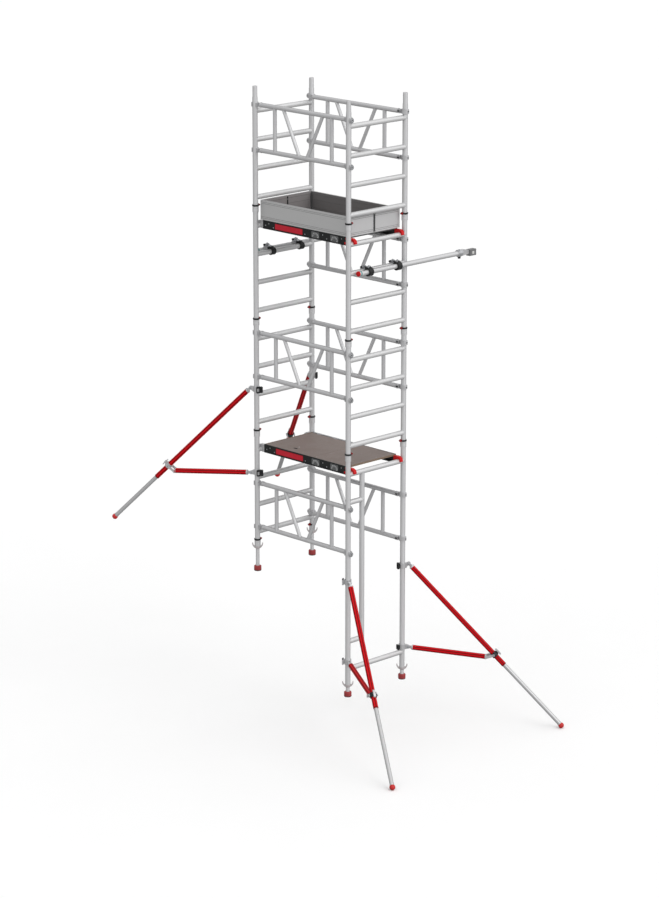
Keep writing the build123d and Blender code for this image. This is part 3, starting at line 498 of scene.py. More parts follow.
ladders = {n: -XU for n in NODES if n.startswith("uphill_ladder")}
ladders.update({n: XU for n in NODES if n.startswith("downhill_ladder")})
for name, x in ladders.items():
    paint(name, "tube_z", ("tube_y", away_from_uprights))
    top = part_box(name)[1].z - SPIGOT
    b = Build()
    for i in range(4):
        z = top - SHOULDER - PITCH * i
        for s in (-1, 1):
            b.sweep(saddle((x, 0, z), (0, s, 0), R_RUNG, (x, s * YU, z), Z, R_TUBE), 0.0021, 8, True, 0, 0.16, 22)
    for s in (-1, 1):
        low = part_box(name)[0].z
        # pressed ring and two dimples on the swaged socket, rolled edge of the spigot's shoulder
        b.lathe((x, s * YU, low + 0.012), Z, [(0.0298, -0.002), (0.0306, -0.0012), (0.0306, 0.0012), (0.0298, 0.002)], 40)
        b.lathe((x, s * YU, low + 0.040), Z, [(0.0298, -0.002), (0.0306, -0.0012), (0.0306, 0.0012), (0.0298, 0.002)], 40)
        b.lathe((x, s * YU, top + 0.0004), Z, [(0.0228, 0), (0.0251, 0), (0.0253, -0.001), (0.0251, 0.0008), (0.0229, 0.0012)], 40)
    b.make("welds_" + name, ["weld"], "tower", "tower_tube")

name = "downhill_walk_through_frame"
box0, box1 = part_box(name)
top = box1.z - SPIGOT
low_rung = top - SHOULDER - 7 * PITCH
post_y = -0.188
paint(name, "tube_z", ("tube_y", lambda c, n: (np.abs(c[:, 1]) < YU - 0.0262) & (np.abs(n[:, 1]) < 0.3) & ~((np.abs(c[:, 1] - post_y) < 0.0252) & (np.abs(n[:, 2]) < 0.05))))
b = Build()
for z in (top - SHOULDER, low_rung):
    for s in (-1, 1):
        b.sweep(saddle((XU, 0, z), (0, s, 0), R_RUNG, (XU, s * YU, z), Z, R_TUBE), 0.0021, 8, True, 0, 0.16, 22)
for z in (top - SHOULDER - PITCH, low_rung + PITCH):
    b.sweep(saddle((XU, -0.28, z), (0, -1, 0), R_RUNG, (XU, -YU, z), Z, R_TUBE), 0.0021, 8, True, 0, 0.16, 22)
    b.sweep(saddle((XU, -0.28, z), (0, 1, 0), R_RUNG, (XU, post_y, z), Z, R_RUNG - 0.00001), 0.0021, 8, True, 0, 0.16, 22)
b.sweep(saddle((XU, post_y, top - SHOULDER - 0.2), (0, 0, 1), R_RUNG, (XU, post_y, top - SHOULDER), (0, 1, 0), R_RUNG - 0.00001), 0.0021, 8, True, 0, 0.16, 22)
for s in (-1, 1):
    b.lathe((XU, s * YU, top + 0.0004), Z, [(0.0228, 0), (0.0251, 0), (0.0253, -0.001), (0.0251, 0.0008), (0.0229, 0.0012)], 40)
b.make("welds_" + name, ["weld"], "tower", "tower_tube")
# cap on the lower end of the step post
b = Build()
zl = low_rung + PITCH - R_RUNG
b.lathe((XU, post_y, zl), Z, [(0, -0.004), (0.020, -0.004), (0.0244, -0.003), (0.0252, -0.001), (0.0252, 0.0), (0.0228, 0.0), (0.0228, 0.016), (0, 0.016)], 40)
b.make("post_cap", ["soft_black"], "tower", "tower_tube")

paint("joint_collars", "black")
paint("joint_clips", "clip")
b = Build()
lo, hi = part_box("joint_collars")
for sx in (-1, 1):
    for k in range(4):
        z = lo.z + 0.007 + k * 4 * PITCH
        if sx > 0 and k == 0:
            continue
        for sy in (-1, 1):
            o = Vector((sx * XU, sy * YU, z))
            # two moulded beads and a split lug on the collar's outer side
            b.lathe(o, Z, [(0.0326, -0.0045), (0.0337, -0.0040), (0.0337, -0.0030), (0.0326, -0.0025)], 48)
            b.lathe(o, Z, [(0.0326, 0.0025), (0.0337, 0.0030), (0.0337, 0.0040), (0.0326, 0.0045)], 48)
            out = Vector((0, sy, 0))
            side = out.cross(Z)
            b.prism(o + out * 0.0318 - Z * 0.006 + side * 0.0035, -side, Z, rounded(0, 0.007, 0, 0.012, 0.0015, 3), 0.0035 if out.cross(-side).z == 0 else 0.0035, 0, 0.0008)
b.make("collar_beads", ["black"], "tower", "collar_plastic")

# ------------------------------------------------------------------ guardrails
for name in [n for n in NODES if n.startswith("guardrail_")]:
    lo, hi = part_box(name)
    y0 = 0.350 * (1 if "back" in name else -1)
    z0, z1 = lo.z + 0.022, hi.z - 0.022
    end = XU - 0.062

    def is_rail(c, n, a=z0, b_=z1):
        return (np.minimum(abs(c[:, 2] - a), abs(c[:, 2] - b_)) < 0.0225) & (abs(c[:, 0]) < end - 0.0005) & (abs(n[:, 0]) < 0.2)

    def is_claw(c, n):
        return abs(c[:, 0]) > end - 0.0004

    def is_button(c, n, y=y0):
        s = np.sign(y)
        return (abs(c[:, 0]) > end + 0.007) & (abs(c[:, 0]) < end + 0.027) & (s * c[:, 1] < s * y - 0.0191)

    def is_boss(c, n):
        return abs(c[:, 0]) > XU + 0.0428

    paint(name, "post", ("tube_x", is_rail), ("cast", is_claw), ("black", is_button), ("zinc", is_boss))
    b = Build()
    for sx in (-1, 1):
        for z, t in ((z0, 1), (z1, -1)):
            b.sweep(saddle((sx * 0.388, y0, (z0 + z1) / 2), (0, 0, -t), 0.019, (0, y0, z), (1, 0, 0), 0.022), 0.0019, 8, True, 0, 0.15, 18)
            a_, c_ = Vector((sx * 0.050, y0, z0)), Vector((sx * 0.272, y0, z1))
            d = (c_ - a_).normalized() * -t
            b.sweep(saddle((a_ + c_) / 2, d, 0.017, (0, y0, z), (1, 0, 0), 0.022), 0.0019, 8, True, 0, 0.15, 18)
        for z in (z0, z1):
            # collar of weld where the tube enters the claw, and the claw's raised rib and dark slot
            b.lathe((sx * end, y0, z), (sx, 0, 0), [(0.0215, -0.0035), (0.0232, -0.0015), (0.0238, 0.0012), (0.0190, 0.0012)], 40)
            for s in (-1, 1):
                b.lathe((sx * XU, y0 + math.copysign(0.025, y0), z + s * 0.0185), Z, [(0.0376, -0.0022), (0.0388, -0.0012), (0.0388, 0.0012), (0.0376, 0.0022)], 40)
    rib = b
    # the ribs stay off the claw's open side
    keep = [i for i, f in enumerate(rib.f) if all((abs(rib.v[k][0]) < XU - 0.04) or (math.copysign(1, y0) * rib.v[k][1] < YU - 0.002) for k in f)]
    rib.f = [rib.f[i] for i in keep]
    rib.m = [rib.m[i] for i in keep]
    rib.make("welds_" + name, ["weld"], "tower", "rail_tube")
    b = Build()
    s = math.copysign(1, y0)
    for z in (z0, z1):
        # latch button's grip, and the pin's head, on the end that carries the latch
        sx = s
        o = Vector((sx * (end + 0.017), y0 - s * 0.0229, z))
        ax, ay = Vector((1, 0, 0)), Vector((0, 0, 1))
        if ax.cross(ay).y * -s < 0:
            ax = -ax
        b.prism(o - ay * 0.0055, ax, ay, rounded(-0.012, 0.012, 0, 0.011, 0.003, 4), 0.004, 0, 0.001)
        b.lathe((sx * (XU + 0.0428), s * YU, z), (sx, 0, 0), [(0.0, 0.0024), (0.0050, 0.0024), (0.0062, 0.0014), (0.0062, 0.0), (0.0, 0.0)], 24, 0)
        # turned step, rim and centre pin of the round end plate on the other end; the black rim ring is painted shade
        # along the plate's outline
        sx = -s
        p = (sx * (XU + 0.0458), s * YU, z)
        b.lathe(p, (sx, 0, 0), [(0.0196, -0.0004), (0.0196, 0.0005), (0.0218, 0.0005), (0.0218, -0.0004)], 48, 0, closed=True)
        b.lathe(p, (sx, 0, 0), [(0.0, 0.0026), (0.0042, 0.0026), (0.0054, 0.0016), (0.0054, 0.0), (0.0, 0.0)], 28, 0)
        b.lathe(p, (sx, 0, 0), [(0.0088, -0.0004), (0.0092, 0.0014), (0.0112, 0.0018), (0.0122, 0.0006), (0.0122, -0.0004)], 36, 1, closed=True)
    b.make("latch_" + name, ["black", "cast"], "tower", "rail_tube")

# ------------------------------------------------------------------ platforms
for deck in ("upper", "lower"):
    lo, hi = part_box(f"{deck}_deck_frame")
    T = hi.z
    W, L = hi.y, 0.580
    cad = f"{deck}_deck_frame"
    paint(cad, "beam",
          ("black", lambda c, n: (c[:, 2] < T - 0.0745) & (abs(c[:, 0]) < L + 0.0001)),
          ("zinc", lambda c, n: (abs(c[:, 1]) < W - 0.0081) & (abs(c[:, 0]) < 0.46) & (c[:, 2] < T - 0.0125) & (c[:, 2] > T - 0.0535)),
          # painted shade: the top of the cross member under the hatch seam is painted black so the seam reads dark
          ("black", lambda c, n: (abs(c[:, 0] - 0.0975) < 0.032) & (n[:, 2] > 0.7) & (c[:, 2] > T - 0.0185) & (c[:, 2] < T - 0.0125)),
          ("red_plastic", lambda c, n: c[:, 0] > L + 0.0002),
          ("cast", lambda c, n: c[:, 0] < -L - 0.0002),
          ("zinc", lambda c, n: (c[:, 1] > W - 0.0301) & (c[:, 1] < W - 0.0085) & (c[:, 2] > T - 0.0095) & (abs(c[:, 0]) < 0.569)),
          ("edge" if deck == "lower" else "soft_black", lambda c, n: (abs(c[:, 0]) > L - 0.0285) & (abs(c[:, 0]) < L + 0.0001) & (abs(c[:, 1]) < W - 0.0079) & (c[:, 2] > T - 0.0175)))
    for part in ("panel", "hatch"):
        paint(f"{deck}_deck_{part}", "edge", ("ply", lambda c, n: n[:, 2] > 0.7), ("soft_black", lambda c, n: n[:, 2] < -0.7),
              ("zinc", lambda c, n: c[:, 1] > 0.3052))
    face = -(W - 0.004)                      # recessed web of the front beam
    X, Zv = Vector((1, 0, 0)), Vector((0, 0, 1))
    b = Build()
    b.prism((0, face, T - 0.072), X, Zv, rounded(-0.415, -0.030, 0, 0.058, 0.006), 0.0009, 0, 0.0003)
    b.prism((0, face - 0.0009, T - 0.072), X, Zv, rounded(-0.411, -0.034, 0.004, 0.054, 0.004), 0.0003, 1, 0.0001)
    b.make(f"{deck}_label", ["clip", "label"], "tower", "deck_beam")
    b = Build()
    for x, dz in ((-0.499, 0.028), (-0.436, 0.059), (0.0015, 0.059), (-0.545, 0.050), (0.245, 0.030), (0.300, 0.060), (0.500, 0.030)):
        b.lathe((x, face, T - dz), (0, -1, 0), [(0.0056, 0), (0.0056, 0.0008), (0.0048, 0.0019), (0.0026, 0.0024), (0.0024, 0.0012), (0, 0.0012)], 24)
    b.make(f"{deck}_screws", ["zinc"], "tower", "deck_beam")
    for k, x0 in enumerate((0.091, 0.350)):
        b = Build()
        b.prism((x0, face, T - 0.073), X, Zv, rounded(0, 0.108, 0, 0.060, 0.010), 0.0022, 0, 0.0009)
        b.prism((x0, face - 0.0022, T - 0.073), X, Zv, rounded(0.010, 0.046, 0.010, 0.050, 0.006), 0.0008, 0, 0.0004)
        # the two curved ribs are painted light grey as a painted highlight
        arc = [(x0 + 0.058 + 0.040 * math.cos(math.radians(a)), face - 0.0026, T - 0.066 + 0.040 * math.sin(math.radians(a))) for a in range(0, 181, 10)]
        b.sweep(arc, 0.0042, 10, False, 1)
        b.sweep([(x0 + 0.058 + 0.026 * math.cos(math.radians(a)), face - 0.0024, T - 0.062 + 0.026 * math.sin(math.radians(a))) for a in range(15, 166, 10)], 0.0022, 8, False, 1)
        b.lathe((x0 + 0.058, face - 0.0020, T - 0.058), (0, -1, 0), [(0.0125, 0), (0.0125, 0.0016), (0.0110, 0.0026), (0.0070, 0.0026), (0.0062, 0.0014), (0, 0.0014)], 28, 0)
        for dx, dz in ((0.022, 0.056), (0.030, 0.030), (0.088, 0.064)):
            b.lathe((x0 + dx, face - 0.0028, T - dz), (0, -1, 0), [(0.0042, 0), (0.0042, 0.0006), (0.0034, 0.0012), (0, 0.0013)], 20, 2)
        b.make(f"{deck}_latch_{k}", ["latch_grey", "latch_painted_highlight", "light_plastic"], "tower", "deck_beam")
    # red cast end shoes of the side beams, at the downhill end
    b = Build()
    for s in (-1, 1):
        y = s * (W - 0.004)
        ax = X if s < 0 else -X
        pts = [(0.540, 0.002), (0.580, 0.002), (0.580, 0.066), (0.556, 0.066), (0.556, 0.046), (0.566, 0.040), (0.566, 0.026), (0.540, 0.022)]
        pts = [(p[0] if s < 0 else -p[0], p[1]) for p in pts]
        b.prism((0, y, T - 0.0765), ax, Zv, pts, 0.0036, 0, 0.0012)
        for dz in (0.012, 0.058):
            b.lathe((0.572, y + s * 0.0036, T - 0.0765 + dz), (0, s, 0), [(0.0045, 0), (0.0045, 0.0004), (0.0030, 0.0004), (0, 0.0002)], 20, 1)
    b.make(f"{deck}_end_shoes", ["red_plastic", "zinc"], "tower", "deck_beam")
    # hatch fittings: rim of the finger hole, its dark pocket, a light plug, edge trim along the seam
    fx, fy = -0.245, -0.225
    top = T - 0.001
    b = Build()
    outer = rounded(fx - 0.026, fx + 0.026, fy - 0.012, fy + 0.012, 0.0119, 10)
    inner = rounded(fx - 0.0205, fx + 0.0205, fy - 0.0066, fy + 0.0066, 0.0065, 10)
    n = len(outer)
    rings = [[(p[0], p[1], top + 0.0001) for p in outer], [(p[0] * 0.98 + fx * 0.02, p[1] * 0.98 + fy * 0.02, top + 0.0010) for p in outer],
             [(p[0], p[1], top + 0.0009) for p in inner], [(p[0], p[1], top - 0.013) for p in inner]]
    verts = [p for r in rings for p in r]
    faces = [(k * n + i, k * n + (i + 1) % n, (k + 1) * n + (i + 1) % n, (k + 1) * n + i) for k in range(3) for i in range(n)]
    faces.append(tuple(3 * n + i for i in range(n)))
    b.add(verts, faces)
    b.lathe((-0.254, -0.167, top), Z, [(0.0075, 0), (0.0075, 0.0005), (0.0060, 0.0010), (0, 0.0010)], 28, 1)
    for x in (-0.47, -0.236, -0.002):
        for dx in (-0.006, 0.006):
            b.lathe((x + dx, 0.297, top), Z, [(0.0030, 0), (0.0030, 0.0004), (0.0020, 0.0009), (0, 0.0010)], 18, 2)
    b.make(f"{deck}_hatch_fittings", ["black", "light_plastic", "zinc"], f"{deck}_hatch", "plywood")
    b = Build()
    for x in (0.125, 0.340, 0.545):
        for y in (-0.300, -0.1, 0.1, 0.300):
            b.lathe((x, y, top), Z, [(0.0042, 0), (0.0042, 0.0003), (0.0030, 0.0008), (0, 0.0009)], 18, 0)
    b.make(f"{deck}_panel_screws", ["zinc"], "tower", "plywood")

# ------------------------------------------------------------------ toe boards
tlo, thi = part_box("toe_board_front")
TX = thi.x
# the long boards' outer faces take the darker copy of the outer colour, painted shade
for name, s in (("toe_board_front", -1), ("toe_board_back", 1)):
    out_y = max(abs(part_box(name)[0].y), abs(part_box(name)[1].y))
    # painted shade: the groove bottoms of the outer face are painted dark
    paint(name, "toe_out_shaded_copy", ("toe_groove_painted_shade", lambda c, n, s=s, o=out_y: (s * c[:, 1] < o - 0.0008) & (s * c[:, 1] > o - 0.0016) & (n[:, 1] * s > 0.7)),
          # painted shade: the inner face is painted dark
          ("toe_in_painted_shade", lambda c, n, s=s, o=out_y: (n[:, 1] * s < -0.7) & (s * c[:, 1] < o - 0.0195)),
          ("soft_black", lambda c, n, s=s, o=out_y: s * c[:, 1] < o - 0.0202))
# the end boards' outer faces take the lighter copy of the outer colour, painted light
for name, sx in (("toe_board_uphill_front_half", -1), ("toe_board_uphill_back_half", -1), ("toe_board_downhill_front_half", 1), ("toe_board_downhill_back_half", 1)):
    # painted shade: the groove bottoms of the outer face are painted dark
    paint(name, "toe_out_y_lit_copy", ("toe_groove_painted_shade", lambda c, n, sx=sx: (sx * c[:, 0] < TX - 0.0008) & (sx * c[:, 0] > TX - 0.0016) & (n[:, 0] * sx > 0.7)),
          # painted shade: the inner face is painted dark, lighter than the long boards' inner face
          ("toe_in_y_painted_shade_lit_side", lambda c, n, sx=sx: (n[:, 0] * sx < -0.7) & (sx * c[:, 0] < TX - 0.0195)),
          ("soft_black", lambda c, n, sx=sx: (sx * c[:, 0] < TX - 0.0202) | (sx * c[:, 0] > TX + 0.0002)))
halves = {("uphill", "front"): "toe_uphill_front_half", ("uphill", "back"): "toe_uphill_back_half",
          ("downhill", "front"): "toe_downhill_front_half", ("downhill", "back"): "toe_downhill_back_half"}
for (end, side), body in halves.items():
    sx, sy = (-1 if end == "uphill" else 1), (-1 if side == "front" else 1)
    b = Build()
    zt = (tlo.z + thi.z) / 2
    for k in (-0.07, -0.035, 0.0, 0.035, 0.07):
        b.lathe((sx * (TX + 0.0019), sy * 0.00835, zt + k), (sx, 0, 0), [(0.0027, 0), (0.0027, 0.0004), (0.0019, 0.0010), (0, 0.0011)], 18)
    # inner leaf of the middle hinge and its rivets
    ax = Vector((0, -sx, 0))
    b.prism((sx * (TX - 0.020), 0, zt - 0.082), ax, Z, rounded(*sorted((-sx * sy * 0.0004, -sx * sy * 0.0072)), 0, 0.168, 0.0015, 3), 0.0016, 1, 0.0004)
    # two rolled beads along the inner face, painted dark as painted shade lines
    for k in (-0.062, 0.018, 0.070):
        b.sweep([(sx * (TX - 0.0199), sy * 0.010, zt + k), (sx * (TX - 0.0199), sy * 0.160, zt + k), (sx * (TX - 0.0199), sy * 0.300, zt + k)], 0.0013, 6, False, 2)
    for k in (-0.06, 0.0, 0.06):
        b.lathe((sx * (TX - 0.0214), sy * 0.0038, zt + k), (-sx, 0, 0), [(0.0030, 0), (0.0032, 0.0005), (0.0022, 0.0012), (0, 0.0013)], 18)
    b.make(f"toe_hinge_{end}_{side}", ["zinc", "black", "toe_line_painted_shade"], body, "toe_aluminium")
for name, body, s in (("toe_board_front", "tower", -1), ("toe_board_back", "toe_back", 1)):
    lo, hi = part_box(name)
    y = s * max(abs(lo.y), abs(hi.y))
    b = Build()
    for sx in (-1, 1):
        # end plugs of the hollow board, and the corner hinge leaf with its rivets; the plugs take the lighter,
        # painted-light copy of the outer-face colour
        ax = Vector((0, sx, 0))
        b.prism((sx * TX, y - s * 0.010, (lo.z + hi.z) / 2), ax, Z, rounded(-0.0098, 0.0098, -(hi.z - lo.z) / 2 + 0.0004, (hi.z - lo.z) / 2 - 0.0004, 0.002, 3), 0.0020, 0, 0.0008)
        for k in (-0.069, 0.069):
            b.lathe((sx * (TX - 0.038), y - s * 0.020, (lo.z + hi.z) / 2 + k), (0, -s, 0), [(0.0034, 0), (0.0034, 0.0005), (0.0024, 0.0012), (0, 0.0014)], 18, 1)
    # rolled beads along the inner face, painted dark as painted shade lines
    for k in (-0.062, 0.018, 0.070):
        b.sweep([(x, y - s * 0.0199, (lo.z + hi.z) / 2 + k) for x in (-0.575, 0.0, 0.575)], 0.0013, 6, False, 2)
    b.make(f"{name}_ends", ["toe_out_y_lit_copy", "zinc", "toe_line_painted_shade"], body, "toe_aluminium")

# ------------------------------------------------------------------ adjustable legs
for c in CORNERS:
    node, nut = f"jack_leg_{c}", f"jack_nut_{c}"
    lo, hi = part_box(node)
    x, y = UP[c].x, UP[c].y
    zf, zt = lo.z, hi.z
    paint(nut, "nut")
    b = Build()
    # threaded tube: helical trapezoid thread, 8 mm pitch
    pitch, n = 0.008, 40
    z0, z1 = zf + 0.048, zt - 0.110
    rows = int((z1 - z0) / 0.001)
    def radius(t):
        t = t % 1.0
        if t < 0.30:
            return 0.0189
        if t < 0.45:
            return 0.0189 - (t - 0.30) / 0.15 * 0.0014
        if t < 0.85:
            return 0.0175
        return 0.0175 + (t - 0.85) / 0.15 * 0.0014
    verts, faces = [], []
    for i in range(rows + 1):
        z = z0 + (z1 - z0) * i / rows
        for k in range(n):
            a = 2 * math.pi * k / n
            r = radius((z - z0) / pitch - k / n)
            if i == 0 or i == rows:
                r = 0.0175
            verts.append((x + r * math.cos(a), y + r * math.sin(a), z))
    for i in range(rows):
        for k in range(n):
            j = (k + 1) % n
            faces.append((i * n + k, i * n + j, (i + 1) * n + j, (i + 1) * n + k))
    b.add(verts, faces, 0)
    b.lathe((x, y, z1), Z, [(0.0175, 0), (0.0188, 0.002), (0.0188, zt - z1), (0.016, zt - z1), (0.016, 0.0), (0.0175, 0)], 40, 0)
    # rubber foot: tread rings below, ribbed wall, rolled lip at the tube
    foot = [(0.0, 0.0), (0.008, 0.0), (0.009, 0.0015), (0.012, 0.0015), (0.013, 0.0), (0.018, 0.0), (0.019, 0.0015), (0.022, 0.0015), (0.023, 0.0),
            (0.0325, 0.0), (0.0350, 0.0020), (0.0368, 0.0090)]
    for k in range(5):
        h = 0.012 + k * 0.0064
        foot += [(0.0368, h), (0.0358, h + 0.0009), (0.0358, h + 0.0018), (0.0368, h + 0.0027)]
    foot += [(0.0368, 0.0445), (0.0352, 0.0490), (0.0310, 0.0525), (0.0240, 0.0538), (0.0212, 0.0530), (0.0200, 0.0510), (0.0180, 0.0480)]
    b.lathe((x, y, zf), Z, foot, 56, 1)
    o = b.make(f"threaded_leg_{c}", ["tube_z", "red_rubber"], f"jack_leg_{c}", "jack_leg", 28)
    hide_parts(node)
    # dark ring moulded at the foot's base
    b = Build()
    b.lathe((x, y, zf), Z, [(0.0340, 0.0012), (0.0362, 0.0030), (0.0370, 0.0085), (0.0370, 0.0105), (0.0362, 0.0105), (0.0350, 0.0040)], 56, closed=True)
    b.make(f"foot_ring_{c}", ["dark_rubber"], f"jack_leg_{c}", "jack_leg")

# ------------------------------------------------------------------ stabilisers
for c in CORNERS:
    cen = UP[c]
    U = Vector(J["stabiliser_spread_" + c]["pos_m"])
    Lo = Vector(J["stabiliser_strut_turn_" + c]["pos_m"])
    K = Vector(J["stabiliser_coupler_turn_" + c]["pos_m"])
    d = Vector(J["stabiliser_extend_" + c]["axis"]).normalized()
    t = Vector(J["stabiliser_spread_" + c]["axis"]).normalized()
    rh = Vector((U.x - cen.x, U.y - cen.y, 0)).normalized()
    nrm = d.cross(t)
    if nrm.dot(rh) < 0:
        nrm = -nrm
    # the strut tube's axis passes below the leg's axis; its fork rises to the coupler
    past, below, gap = {"uphill": (0.019, 0.055, 0.042), "downhill_front": (0.005, 0.041, 0.050), "downhill_back": (0.005, 0.041, 0.060)}[
        "uphill" if c.startswith("uphill") else c]
    seat = 0.008 if c.startswith("uphill") else 0.0
    Kt = K + d * past - nrm * below
    e = (Kt - Lo).normalized()
    length = (Kt - Lo).length
    sa, ca = math.hypot(d.x, d.y), -d.z
    leg_end = (U.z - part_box("stabiliser_leg_" + c)[0].z - 0.025 * sa) / ca
    Un, dn, Kn, Ln, en = (np.array(v) for v in (U, d, K, Lo, e))
    cn = np.array([cen.x, cen.y])
    lo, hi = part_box("stabiliser_inner_leg_" + c)
    # ball centre: the tube's axis followed to the ball
    foot_z = lo.z + 0.028
    F = U + d * ((foot_z - U.z) / d.z)
    Fn = np.array(F)

    def far(cc, n, cn=cn, rn=np.array([rh.x, rh.y])):
        q = cc[:, :2] - cn
        return (np.hypot(q[:, 0], q[:, 1]) > 0.0443) & (q @ rn < 0.03)
    def lever_dark(cc, n, cn=cn, rn=np.array([rh.x, rh.y]), c=c, zu=cen.z, zl=Lo.z + seat):
        q = cc[:, :2] - cn
        r_ = np.hypot(q[:, 0], q[:, 1])
        if c == "downhill_back":                     # lever and its seat are black
            return (r_ > 0.0346) & (q @ rn < 0.0)
        if c == "downhill_front":                    # light lever with a dark upper edge
            dz = np.where(cc[:, 2] > (zu + zl) / 2, cc[:, 2] - zu, cc[:, 2] - zl)
            return (r_ > 0.0443) & (q @ rn < 0.03) & (dz > 0.0225)
        return far(cc, n)
    paint("stabiliser_clamps_" + c, "cast", ("black", lever_dark),
          ("zinc", lambda cc, n, cn=cn, rn=np.array([rh.x, rh.y]), tn=np.array([t.x, t.y]): (abs((cc[:, :2] - cn) @ tn) > 0.0141) & ((cc[:, :2] - cn) @ rn > 0.05)))
    axial = lambda cc, p, q: (cc - p) @ q
    # faces inside the tube's outer radius, groove bottoms and bore, which are painted dark as painted shade
    def groove_painted_shade(cc, n, p=Un, q=dn):
        rel = cc - p
        rad = rel - np.outer(rel @ q, q)
        return np.linalg.norm(rad, axis=1) < 0.0240
    paint("stabiliser_leg_" + c, "red", ("cast", lambda cc, n, p=Un, q=dn: axial(cc, p, q) < 0.0442),
          ("groove_painted_shade", lambda cc, n, p=Un, q=dn, m=leg_end: groove_painted_shade(cc, n, p, q) & (axial(cc, p, q) > 0.0443) & (axial(cc, p, q) < m - 0.0125)))
    paint("stabiliser_inner_leg_" + c, "inner", ("red_ball", lambda cc, n, p=Fn: np.linalg.norm(cc - p, axis=1) < 0.0285))
    paint("stabiliser_strut_" + c, "red", ("groove_painted_shade", lambda cc, n, p=Ln, q=en: groove_painted_shade(cc, n, p, q)),
          ("cast", lambda cc, n, p=Ln, q=en, m=length - gap: (axial(cc, p, q) < 0.0422) | (axial(cc, p, q) > m + 0.0002)))
    front = c in ("uphill_front",)
    paint("stabiliser_coupler_" + c, "cast" if front else "black", ("zinc", lambda cc, n, p=Kn, tn=np.array(t): abs((cc - p) @ tn) > 0.0335),
          ("cast", lambda cc, n, p=Kn, q=np.array(nrm): (cc - p) @ q > 0.0439))

    # pivot bolts through the clamp cheeks
    b = Build()
    for p in (U, Lo):
        for s in (-1, 1):
            b.bolt(p + t * s * 0.0142, t * s, 0.0085, 0.0075)
    for zc in (cen.z - (0.012 if c == "downhill_back" else 0), Lo.z + seat):
        for s in (-1, 1):
            b.lathe((cen.x, cen.y, zc + s * 0.019), Z, [(0.0336, -0.0025), (0.0349, -0.0012), (0.0349, 0.0012), (0.0336, 0.0025)], 44, 1)
    b.make(f"clamp_bolts_{c}", ["zinc", "cast"], f"stabiliser_clamps_{c}", "clamp_alloy")
    # end plugs, raised ribs of the outer tube's mouth; the rib at the far end takes the dark red of the painted groove
    # shade
    b = Build()
    b.lathe(U + d * 0.0445, d, [(0.0228, -0.007), (0.0252, -0.007), (0.0262, -0.004), (0.0262, 0.004), (0.0252, 0.006), (0.0228, 0.006)], 44, 0, closed=True)
    b.lathe(U + d * (leg_end - 0.006), d, [(0.0246, -0.006), (0.0253, -0.005), (0.0253, 0.005), (0.0248, 0.006), (0.0246, 0.006)], 44, 1, closed=True)
    b.make(f"leg_mouth_{c}", ["cast", "groove_painted_shade"], f"stabiliser_leg_{c}", "stabiliser_outer")
    # ball foot: moulded rings and a neck sleeve on the tube
    b = Build()
    R = 0.028
    for a in (-55, -35, -15, 5, 25):
        r_, h_ = R * math.cos(math.radians(a)), -R * math.sin(math.radians(a))
        b.sweep([F + (basis(d)[0] * math.cos(q) + basis(d)[1] * math.sin(q)) * r_ - d * h_ for q in [2 * math.pi * i / 40 for i in range(40)]], 0.0011, 6, True, 0)
    b.lathe(F - d * 0.031, d, [(0.0200, -0.006), (0.0206, -0.006), (0.0210, -0.002), (0.0214, 0.006), (0.0200, 0.010)], 40, 1, closed=True)
    b.make(f"ball_rings_{c}", ["red_ball", "inner"], f"stabiliser_inner_leg_{c}", "stabiliser_inner")
    # adjustment holes of the telescopic tube, as dark eyelets: a zinc ring round a black disc painted in as the shade
    # inside the hole
    b = Build()
    up = (Z - d * Z.dot(d)).normalized()
    span = (F - U).length
    for k in range(4):
        p = U + d * (leg_end + 0.07 + 0.12 * k)
        if (p - U).length < span - 0.09:
            b.lathe(p + up * 0.0197, up, [(0.0030, 0.0002), (0.0052, 0.0006), (0.0056, 0.0002), (0.0056, -0.0006), (0.0030, -0.0004)], 20, 0, closed=True)
            b.lathe(p + up * 0.0199, up, [(0.0031, 0.0), (0, 0.0)], 20, 1)
    b.make(f"tube_eyelets_{c}", ["zinc", "black"], f"stabiliser_inner_leg_{c}", "stabiliser_inner")
    # strut: cast collars at both ends of its tube, washers outside the fork
    b = Build()
    for q_ in (0.0425, length - gap - 0.0005):
        b.lathe(Lo + e * q_, e, [(0.0228, -0.006), (0.0252, -0.006), (0.0262, -0.003), (0.0262, 0.003), (0.0252, 0.006), (0.0228, 0.006)], 44, 0, closed=True)
    for sd in (-1, 1):
        b.lathe(Lo + t * sd * 0.0068, t * sd, [(0.0066, 0), (0.0105, 0), (0.0110, 0.0004), (0.0105, 0.0007), (0.0066, 0.0007)], 28, 0, closed=True)
    b.make(f"strut_collars_{c}", ["cast"], f"stabiliser_strut_{c}", "strut_tube")
    # coupler: cast lever with a light grip, trunnion caps
    b = Build()
    for s in (-1, 1):
        b.lathe(K + t * s * 0.0435, t * s, [(0.0062, 0), (0.0098, 0.0), (0.0102, 0.0012), (0.0098, 0.0024), (0.0, 0.0030)], 28, 0)
        b.lathe(K + d * s * 0.0185, d, [(0.0326, -0.003), (0.0338, -0.0018), (0.0338, 0.0018), (0.0326, 0.003)], 44, 1)
    side = t if d.cross(nrm).dot(t) > 0 else -t
    pad = [(-0.029, 0.0536), (-0.025, 0.0562), (0.029, 0.0562), (0.033, 0.0536)] if not front else [(-0.012, 0.0536), (-0.009, 0.0570), (0.009, 0.0570), (0.012, 0.0536)]
    b.prism(K - side * 0.0095, d, nrm, pad, 0.019, 2 if not front else 3, 0.0)
    for q_ in (-0.028, 0.030):
        b.lathe(K + d * q_ + nrm * 0.049 - t * 0.0112, t, [(0.0, -0.0012), (0.0030, -0.0012), (0.0036, -0.0004), (0.0036, 0.0228), (0.0030, 0.0236), (0.0, 0.0236)], 20, 0)
    b.make(f"coupler_lever_{c}", ["zinc", "cast" if front else "black", "cast", "black"], f"stabiliser_coupler_{c}", "coupler_alloy")

